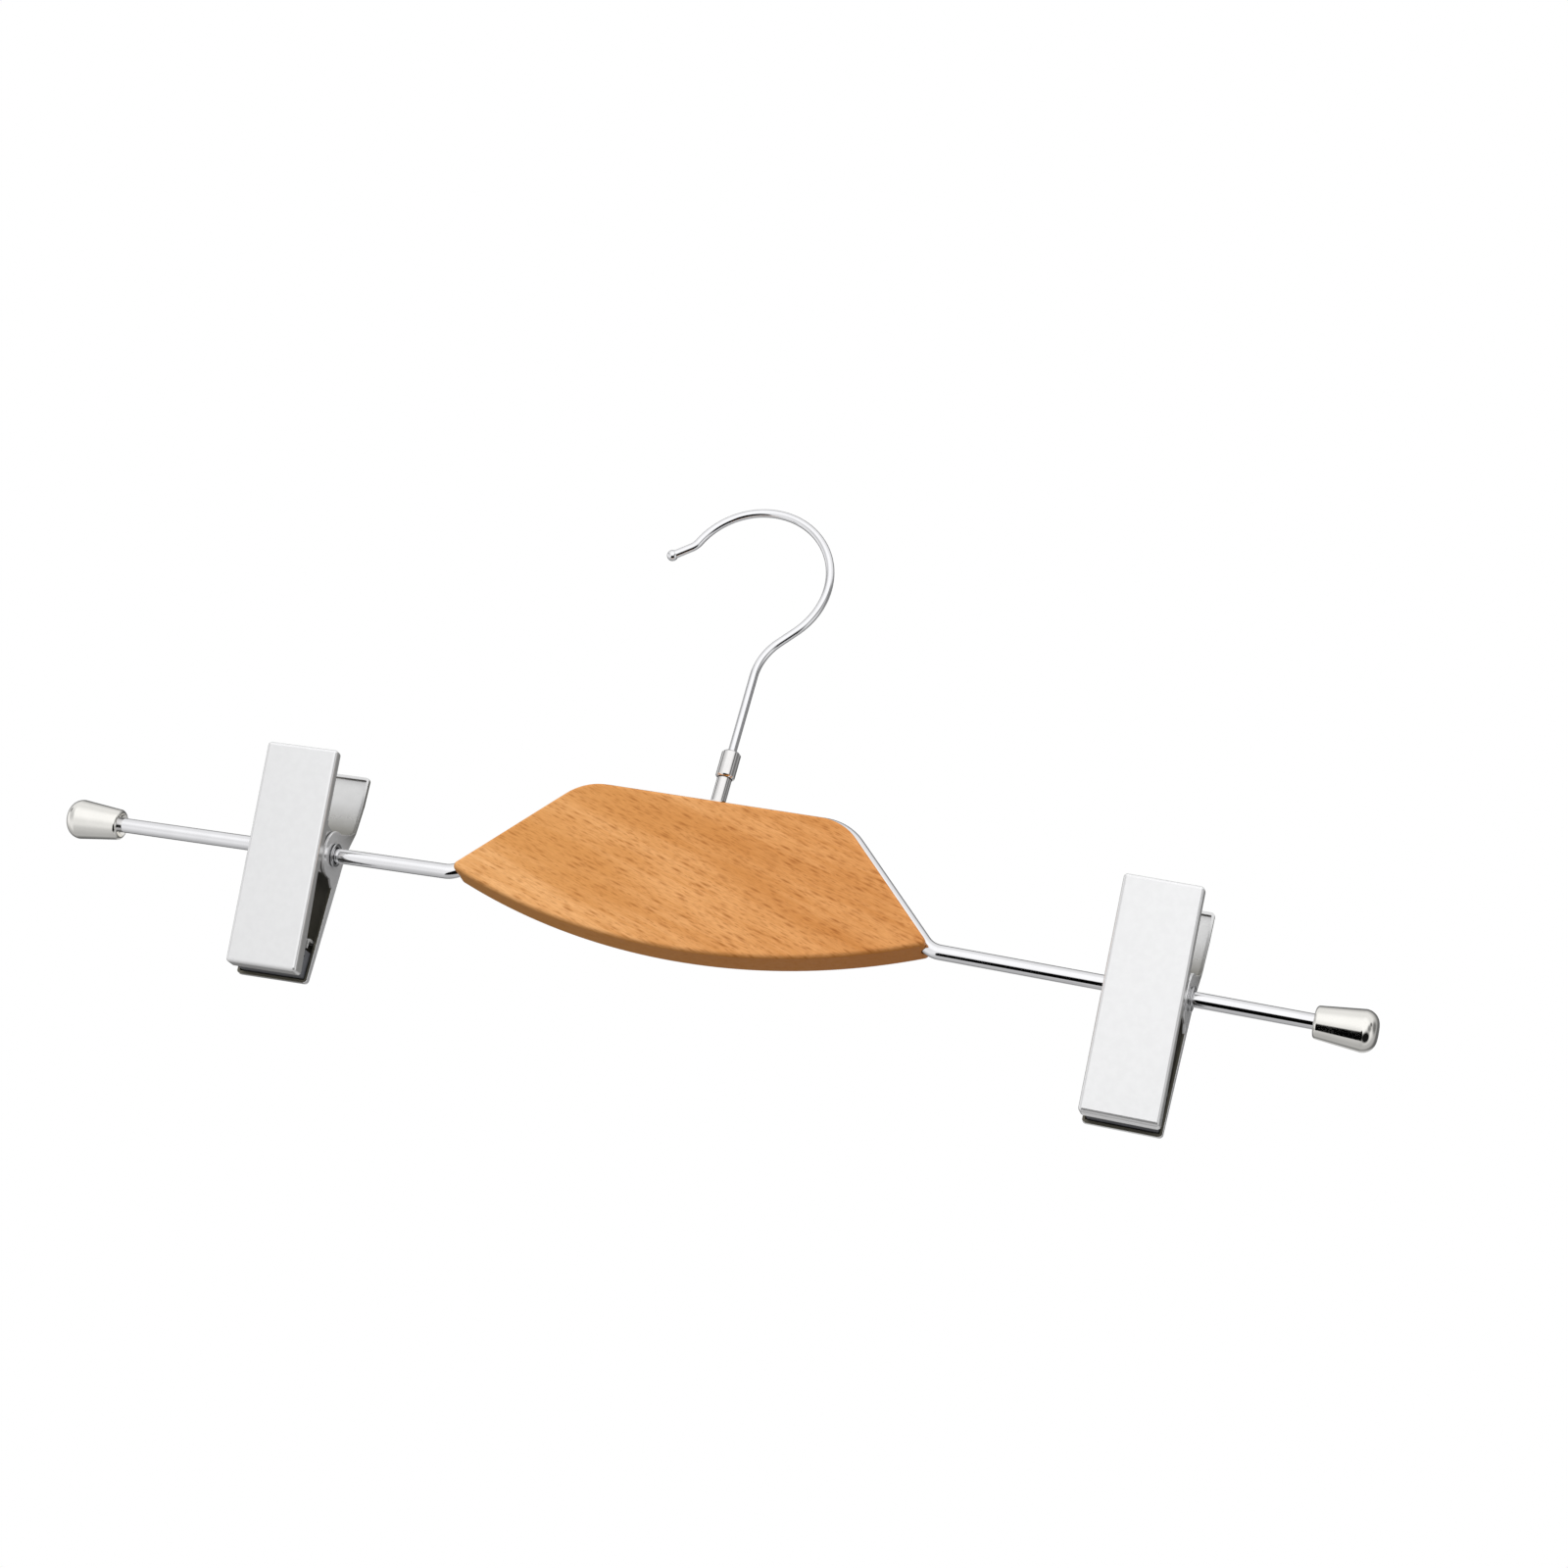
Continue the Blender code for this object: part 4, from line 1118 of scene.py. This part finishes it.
def blended(steps, place):
    """The share at a place between the nearest two of (place, share) steps."""
    for (low, low_share), (high, high_share) in zip(steps, steps[1:]):
        if place < high:
            along = max(0.0, (place - low) / (high - low))
            return low_share + (high_share - low_share) * along
    return steps[-1][1]


def painted_shade_share(face, height, tab):
    """The share of painted shade at a height of a face, or None where none is painted."""
    inward = -Vector((face.center.x, face.center.y, 0)).normalized()
    if face.normal.dot(inward) > INWARD:
        return blended(INSIDE_SHADE_SHARES, height)
    if abs(face.normal.x) > SIDEWAYS:
        return blended(TAB_SIDE_SHADE_SHARES if tab else FRONT_SIDE_SHADE_SHARES, height)
    if tab and face.normal.z < DOWNWARD and height > settings().jaw.knee_high:
        return TAB_LIP_SHADE_SHARE
    return None


def with_painted_shade(mesh, lug=None):
    """Marks painted shade on the sides of a jaw that face its pivot, fully so below it, and on its
    side flanges and the tab's lip, but not on its lug.
    """
    inside = mesh.attributes.new("inside", "FLOAT", "CORNER")
    for face in mesh.polygons:
        if lug and all(low - GAP < part < high + GAP
                       for low, part, high in zip(lug[0], face.center, lug[1])):
            continue
        for corner in face.loop_indices:
            height = mesh.vertices[mesh.loops[corner].vertex_index].co.z
            share = painted_shade_share(face, height, lug is not None)
            if share is not None:
                inside.data[corner].value = share
    return mesh


def mesh_box(mesh):
    """The lowest and highest corner of a mesh."""
    corners = [vertex.co for vertex in mesh.vertices]
    return [[pick(corner[axis] for corner in corners) for axis in range(3)]
            for pick in (min, max)]


def tube_radius():
    return bar_bore() + settings().pivot.wall


def ear_hole():
    return tube_radius() + GAP


def drill_ears(mesh):
    """The mesh with a hole through both ears for the pivot tube."""
    reach = settings().jaw.width / 2 + OVERRUN
    hole = ear_hole()
    return boolean(mesh, turned([(-reach, 0), (-reach, hole), (reach, hole), (reach, 0)]))


def joggle(mesh, line):
    """Steps the front ears inwards, smoothly, between two depths from the face."""
    jaw = settings().jaw
    along = (line[1] - line[0]).normalized()
    inward = Vector((0, along.y, -along.x))
    face = Vector((0, line[0].x, line[0].y))
    span = jaw.joggle_end - jaw.joggle_start
    bm = bmesh.new()
    bm.from_mesh(mesh)
    for i in range(JOGGLE_CUTS + 1):
        depth = jaw.joggle_start + span * i / JOGGLE_CUTS
        bmesh.ops.bisect_plane(bm, geom=bm.verts[:] + bm.edges[:] + bm.faces[:],
                               plane_co=face + inward * depth, plane_no=inward)
    for vert in bm.verts:
        share = ((vert.co - face).dot(inward) - jaw.joggle_start) / span
        share = min(1.0, max(0.0, share))
        if abs(vert.co.z) < 2 * (ear_hole() + jaw.front_ear_wall):
            step = (jaw.sheet + GAP) * share * share * (3 - 2 * share)
            vert.co.x -= math.copysign(step, vert.co.x)
    return finish_mesh(bm)


def front_jaw_mesh():
    """The front jaw, whose ears are joggled in to pass inside the rear jaw's ears."""
    jaw = settings().jaw
    line = front_line()
    root = jaw.front_ear_root
    low, high = vectors((depth_on(line, -root) + jaw.front_flange, -root),
                        (depth_on(line, root) + jaw.front_flange, root))
    ear = arc(Vector((0, 0)), ear_hole() + jaw.front_ear_wall, *FRONT_EAR, EAR_STEP)
    outline = [line[1], line[0], line[0] + Vector((jaw.front_tip_flange, 0)), low]
    outline += ear + [high, line[1] + Vector((jaw.front_top_flange, 0))]
    mesh = folded_sheet(outline, offset_line(line, -jaw.sheet), jaw.rear_depth, line)
    mesh = joggle(drill_ears(mesh), line)
    # Painted shade inside the front jaw and painted dark reflection on its sides, by the inside
    # attribute
    return with_painted_shade(shaded(softened(mesh, jaw.cut_edge)))


def rear_jaw_mesh():
    """The rear jaw with its outer ears, thumb tab and pad stop."""
    jaw = settings().jaw
    line = rear_line()
    radius = ear_hole() + jaw.rear_ear_wall
    ear = arc(Vector((0, 0)), radius, *REAR_EAR, EAR_STEP)
    low = depth_on(line, -jaw.rear_ear_shoulder) - jaw.rear_flange
    flange = Vector((jaw.tab_flange, 0))
    outline = [line[0] - Vector((jaw.rear_tip_flange, 0))] + line
    outline += [line[4] - flange, line[3] - flange, line[2] - Vector((jaw.tab_foot_flange, 0)),
                Vector((line[1].x - jaw.tab_foot_flange / 2, jaw.rear_ear_shoulder))]
    outline += ear + [Vector((low, -jaw.rear_ear_shoulder))]
    mesh = folded_sheet(outline, offset_line(line, jaw.sheet), -radius - OVERRUN, line)
    lug = mesh_box(pad_stop(line))
    mesh = boolean(mesh, pad_stop(line), "UNION")
    # Painted shade inside the rear jaw and under the tab's lip, and painted dark reflection on the
    # tab's sides, by the inside attribute
    return with_painted_shade(shaded(softened(drill_ears(mesh), jaw.cut_edge)), lug)


def pad_stop(line):
    """A tongue that runs forward from the rear jaw's sheet and turns down."""
    jaw = settings().jaw
    root = depth_on(line, -jaw.tongue_top) - jaw.sheet / 2
    front = jaw.tongue_front
    top = -jaw.tongue_top
    foot = top - jaw.tongue_drop
    corners = vectors((root, top), (front, top), (front, foot), (front + jaw.sheet, foot),
                      (front + jaw.sheet, top - jaw.sheet), (root, top - jaw.sheet))
    outline = rounded(corners, [0, jaw.fold_radius, 0, 0, jaw.fold_radius - jaw.sheet, 0],
                      closed=True)
    return finish_mesh(prism(outline, jaw.tongue_width))


class HANGER_OT_jaws(bpy.types.Operator):
    """Fold the front and rear jaws of both clips from sheet"""
    bl_idname = "hanger.jaws"
    bl_label = "Clip jaws"

    def execute(self, context):
        fit_clips(finish_named("sheet_satin"),
                  [(front_jaw_mesh(), "_front_sheet", "_front_clip", "_front_jaw"),
                   (rear_jaw_mesh(), "_rear_sheet", "_rear_clip", "_rear_jaw")])
        return {"FINISHED"}


# Pads

def pad_mesh(line, side, finish):
    """A rubber pad in a jaw's tip, from the sheet to just short of the middle."""
    jaw = settings().jaw
    pad = settings().pad
    seat = offset_line(line, -side * (jaw.sheet + GAP))
    low = line[0].y + jaw.sheet + GAP
    high = -pad.top
    meet = -side * GAP / 2
    outline = vectors((depth_on(seat, low), low), (depth_on(seat, high), high), (meet, high),
                      (meet, low))
    width = jaw.width - 2 * jaw.sheet - 2 * GAP
    bm = prism(outline, width)
    blank = round_edges(bm, bm.edges[:], pad.edge_radius, PAD_SEGMENTS)
    half = pad.groove_width / 2
    notch = vectors((0, -half), (0, half), (meet - side * pad.groove_depth, 0))
    cutter = link_object("wedge", finish_mesh(prism(notch, width + 2 * OVERRUN)))
    pitch = (high - low) / (pad.grooves + 1)
    made = run_tree(blank, "Grooves across a pad", groove_tree,
                    {"Wedge": cutter, "Grooves": pad.grooves, "First": (0.0, 0.0, low + pitch),
                     "Pitch": (0.0, 0.0, pitch), "Finish": finish})
    bpy.data.objects.remove(cutter, do_unlink=True)
    return shaded(in_order(made))


class HANGER_OT_pads(bpy.types.Operator):
    """Mould the grooved pads in the clips' tips"""
    bl_idname = "hanger.pads"
    bl_label = "Pads"

    def execute(self, context):
        finish = finish_named("grip_rubber")
        fit_clips(finish,
                  [(pad_mesh(front_line(), 1, finish), "_front_grip", "_front_clip", "_front_pad"),
                   (pad_mesh(rear_line(), -1, finish), "_rear_grip", "_rear_clip", "_rear_pad")])
        return {"FINISHED"}


# Pivot tubes and springs

def pivot_tube_mesh():
    """A hollow rivet through the ears with a rolled rim at each end."""
    pivot = settings().pivot
    ear_face = settings().jaw.width / 2 + GAP
    end = ear_face + pivot.flare_thickness
    outer = tube_radius() + pivot.flare
    roll = pivot.flare_thickness / 2
    half = [Vector((ear_face, tube_radius()))]
    half += arc(Vector((ear_face + roll, outer - roll)), roll, 180, 0, ROLL_STEP)
    half += arc(Vector((end - roll, bar_bore() + roll)), roll, 0, -90, ROLL_STEP)
    return shaded(turned([(-p.x, p.y) for p in half[::-1]] + half, closed=True))


class HANGER_OT_pivots(bpy.types.Operator):
    """Turn the pivot tubes that the arms run through"""
    bl_idname = "hanger.pivots"
    bl_label = "Pivot tubes"

    def execute(self, context):
        fit_clips(finish_named("tube_steel"),
                  [(pivot_tube_mesh(), "_tube", "_sleeve", "_pivot_tube")])
        return {"FINISHED"}


def spring_line():
    """A torsion spring's centre line: front leg, open coil round the tube, rear leg."""
    pivot = settings().pivot
    start = pivot.front_leg
    wound = pivot.rear_leg - pivot.front_leg + 2 * math.pi * pivot.turns
    curls = wound / (2 * math.pi)
    span = (pivot.spring_wire + pivot.coil_gap) * curls
    radius = tube_radius() + GAP + pivot.spring_wire / 2 + GAP / 2
    steps = round(pivot.curl_points * curls)
    coil = []
    for i in range(steps + 1):
        turn = start + wound * i / steps
        coil.append(Vector((span * (0.5 - i / steps), radius * math.cos(turn),
                            radius * math.sin(turn))))
    front = leg_end(coil[0], start, -1, front_line())
    rear = leg_end(coil[-1], start + wound, 1, rear_line())
    return [front] + coil + [rear], span


def leg_end(point, turn, way, line):
    """Where a tangent leg from the coil comes to rest beside a jaw's sheet."""
    jaw = settings().jaw
    wire = settings().pivot.spring_wire
    along = way * Vector((0, -math.sin(turn), math.cos(turn)))
    rest = jaw.sheet + GAP + wire / 2
    reach = 0.0
    step = wire / 10
    inside = True
    while inside:
        reach += step
        spot = point + along * reach
        inside = abs(depth_on(line, spot.z)) - abs(spot.y) > rest and spot.z < jaw.front_top
    return point + along * (reach - step)


class HANGER_OT_springs(bpy.types.Operator):
    """Wind the torsion springs on the pivot tubes"""
    bl_idname = "hanger.springs"
    bl_label = "Torsion springs"

    def execute(self, context):
        finish = finish_named("coil_steel")
        points, span = spring_line()
        radii = [settings().pivot.spring_wire / 2] * len(points)
        mesh = swept_wire(points, radii, COIL_SIDES, finish)
        for name, place in clip_places():
            piece = placed(name + "_spring", mesh, finish, place)
            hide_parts(name + "_torsion_spring")
            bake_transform(piece)
        return {"FINISHED"}


# Studio

def studio_camera():
    studio = settings().studio
    camera = bpy.data.cameras.new("camera")
    camera.lens = studio.lens
    camera.clip_start = studio.near
    camera.clip_end = studio.far
    eye = link_object("camera", camera)
    eye.location = studio.eye
    eye.rotation_euler = studio.turn
    bpy.context.scene.camera = eye


# Square lamps: place, edge length and power; and the point that they are turned to
LAMPS = {"key": ((-0.5, -1.5, 1.1), 1.2, 17), "fill": ((1.3, -1.2, 0.2), 1.0, 3)}
LAMP_AIM = Vector((0, 0, -0.08))


def soft_light(name):
    """A lamp that lights the object and isn't seen in its polished metal."""
    place, edge, power = LAMPS[name]
    lamp = bpy.data.lights.new(name, "AREA")
    lamp.shape = "RECTANGLE"
    lamp.size = edge
    lamp.size_y = edge
    lamp.energy = power
    thing = link_object(name, lamp)
    thing.location = place
    thing.visible_glossy = False
    thing.rotation_euler = (LAMP_AIM - Vector(place)).to_track_quat("-Z", "Y").to_euler()


# The floor's two pale greys and their noise, what the object gets back, and its roughness
FLOOR_TINTS = ((0.93, 0.93, 0.93), (0.90, 0.90, 0.90))
FLOOR_NOISE = (6.0, 2.0, 0.5)
FLOOR_BOUNCE = (0.34, 0.33, 0.32)
FLOOR_ROUGHNESS = 0.8
# Share of the floor's half width where it starts to fade out
FLOOR_FADE = 0.3


def floor_material():
    """A pale floor that fades into the white around, and gives little light back."""
    material, tree, shader, place = new_material("floor")
    pale = mixed(tree, noise(tree, place, *FLOOR_NOISE), *FLOOR_TINTS)
    path = add(tree, "ShaderNodeLightPath").outputs
    reach = add(tree, "ShaderNodeVectorMath", {0: place}, operation="LENGTH").outputs["Value"]
    half = settings().studio.floor_width / 2
    feed(tree, shader, {
        "Base Color": mixed(tree, path["Is Diffuse Ray"], pale, FLOOR_BOUNCE),
        "Alpha": ramp(tree, reach, half, FLOOR_FADE * half),
        "Roughness": FLOOR_ROUGHNESS})
    return material


def floor_mesh():
    studio = settings().studio
    bm = bmesh.new()
    bmesh.ops.create_grid(bm, x_segments=1, y_segments=1, size=studio.floor_width / 2)
    mesh = finish_mesh(bm)
    mesh.transform(Matrix.Translation((0, 0, CAD_BOX[0].z - studio.floor_drop)))
    return mesh


# The studio as polished metal sees it: each zone's direction from the object, the angles
# in degrees at which it is full and gone, and how bright it is beside what is round it
ZONES = {
    "softbox": ((0.10, -0.96, 0.26), 24.0, 52.0, 1.26),
    "left card": ((-0.995, 0.087, -0.05), 8.0, 28.0, 1.30),
    "left gap": ((-0.86, -0.50, 0.05), 6.0, 36.0, 0.76),
    "left wing": ((-0.62, -0.76, -0.17), 8.0, 26.0, 0.90),
    "right gap": ((0.944, 0.118, 0.308), 8.0, 30.0, 0.27),
    "low right": ((0.70, -0.60, -0.38), 8.0, 30.0, 0.65),
    "right wing": ((0.82, -0.57, 0.05), 6.0, 24.0, 0.32),
    "right stripe": ((0.84, -0.40, 0.38), 4.0, 13.0, 0.16),
    "left stripe": ((-0.91, -0.14, 0.38), 4.0, 13.0, 0.22),
    "dark corner": ((0.53, -0.42, -0.74), 20.0, 36.0, 0.01),
    "rear": ((0.0, 1.0, 0.0), 62.0, 100.0, 0.55),
    "behind": ((-0.05, 0.94, 0.20), 34.0, 66.0, 0.28),
    "rear softbox": ((0.0, 0.99, -0.12), 9.0, 27.0, 4.50),
    "below": ((-0.05, -0.10, -1.0), 8.0, 40.0, 0.66),
}
# How bright the studio is outside all zones
STUDIO_LEVEL = 0.85
# Light on satin and wood: the heights between which it changes, its level below and above
PLAIN_LIGHT = (-0.7, 0.7, 0.30, 0.94)


def studio_level(tree, direction):
    """How bright the studio is in a direction, as polished metal sees it."""
    level = STUDIO_LEVEL
    for toward, full, gone, share in ZONES.values():
        nearness = add(tree, "ShaderNodeVectorMath",
                       {0: direction, 1: Vector(toward).normalized()}, operation="DOT_PRODUCT")
        away = maths(tree, "ARCCOSINE", nearness.outputs["Value"])
        zone = ramp(tree, away, math.radians(full), math.radians(gone), share, 1.0)
        level = maths(tree, "MULTIPLY", zone, level)
    return level


# The dark board by the camera: how far in front it stands at its top edge, how much further
# out it leans the lower it is, how wide its soft edge is, its outline (x, z), and its colour
FLAG_PLACE = -0.73
FLAG_LEAN = 0.42
FLAG_SOFT = 0.11
FLAG_LINE = ((0.10, -0.39), (0.20, -0.41), (0.27, -0.51), (0.31, -0.65), (0.32, -0.90),
             (0.30, -1.45), (-0.42, -1.45), (-0.34, -1.12), (-0.26, -0.86), (-0.19, -0.66),
             (-0.10, -0.51), (0.01, -0.42))
FLAG_BLACK = (0.004, 0.004, 0.004, 1.0)


def flag_mesh():
    """A board whose edge fades out, held in the attribute named cover."""
    corners = [Vector((across, FLAG_PLACE - FLAG_LEAN * (up - FLAG_LINE[0][1]), up))
               for across, up in FLAG_LINE]
    middle = sum(corners, Vector()) / len(corners)
    bm = bmesh.new()
    inner, outer = ([bm.verts.new(middle.lerp(corner, share)) for corner in corners]
                    for share in (1 - FLAG_SOFT, 1 + FLAG_SOFT))
    bm.faces.new(inner)
    for k in range(len(corners)):
        after = (k + 1) % len(corners)
        bm.faces.new((inner[k], outer[k], outer[after], inner[after]))
    mesh = finish_mesh(bm)
    cover = mesh.attributes.new("cover", "FLOAT", "POINT")
    cover.data.foreach_set("value", [1.0] * len(corners) + [0.0] * len(corners))
    return mesh


def flag_material():
    """Black cloth that fades out with the board's edge."""
    material, tree, shader, _ = new_material("flag_cloth")
    cover = add(tree, "ShaderNodeAttribute", attribute_name="cover").outputs["Fac"]
    feed(tree, shader, {"Alpha": ramp(tree, cover, 0.0, 1.0), "Base Color": FLAG_BLACK,
                        "Roughness": 1.0, "Specular IOR Level": 0.0})
    return material


def surroundings():
    """White to the eye, a studio to polished metal, and plain soft light for the rest."""
    world = bpy.data.worlds.new("surroundings")
    bpy.context.scene.world = world
    world.use_nodes = True
    tree = world.node_tree
    direction = add(tree, "ShaderNodeTexCoord").outputs["Generated"]
    path = add(tree, "ShaderNodeLightPath").outputs
    height = add(tree, "ShaderNodeSeparateXYZ", {"Vector": direction}).outputs["Z"]
    plain = ramp(tree, height, *PLAIN_LIGHT)
    studio = output(tree, "ShaderNodeMix", {"Factor": path["Is Glossy Ray"], "A": plain,
                                            "B": studio_level(tree, direction)})
    white = maths(tree, "MAXIMUM", path["Is Camera Ray"], path["Is Transmission Ray"])
    seen = output(tree, "ShaderNodeMix", {"Factor": white, "A": studio, "B": 1.0})
    feed(tree, tree.nodes["Background"], {"Color": (1.0, 1.0, 1.0, 1.0), "Strength": seen})


class HANGER_OT_stage(bpy.types.Operator):
    """Set up the floor, the soft lights, the dark board, the surroundings and the camera"""
    bl_idname = "hanger.stage"
    bl_label = "Stage"

    def execute(self, context):
        floor = placed("floor", floor_mesh(), floor_material())
        floor.visible_glossy = False
        for name in LAMPS:
            soft_light(name)
        flag = placed("flag", flag_mesh(), flag_material())
        for ray in ("camera", "diffuse", "shadow", "transmission"):
            setattr(flag, "visible_" + ray, False)
        surroundings()
        studio_camera()
        context.scene.view_settings.view_transform = "Standard"
        return {"FINISHED"}


# Panel and registration

OPERATORS = (HANGER_OT_plate, HANGER_OT_bar, HANGER_OT_caps, HANGER_OT_hook, HANGER_OT_swivel,
             HANGER_OT_jaws, HANGER_OT_pads, HANGER_OT_pivots, HANGER_OT_springs, HANGER_OT_stage)


class HANGER_PT_panel(bpy.types.Panel):
    bl_label = "Clip hanger"
    bl_idname = "HANGER_PT_panel"
    bl_space_type = "VIEW_3D"
    bl_region_type = "UI"
    bl_category = "Hanger"

    def draw(self, context):
        column = self.layout.column(align=True)
        for operator in OPERATORS:
            column.operator(operator.bl_idname)
        for name, group in GROUPS.items():
            box = self.layout.box()
            box.label(text=name.capitalize())
            for key in group.__annotations__:
                box.prop(getattr(context.scene.clip_hanger, name), key)


CLASSES = (*GROUPS.values(), HangerSettings, *OPERATORS, HANGER_PT_panel)


def register():
    for each in CLASSES:
        bpy.utils.register_class(each)
    bpy.types.Scene.clip_hanger = bpy.props.PointerProperty(type=HangerSettings)


def unregister():
    del bpy.types.Scene.clip_hanger
    for each in reversed(CLASSES):
        bpy.utils.unregister_class(each)


def main():
    register()
    for operator in OPERATORS:
        getattr(bpy.ops.hanger, operator.bl_idname.split(".")[1])()


if __name__ == "__main__":
    main()
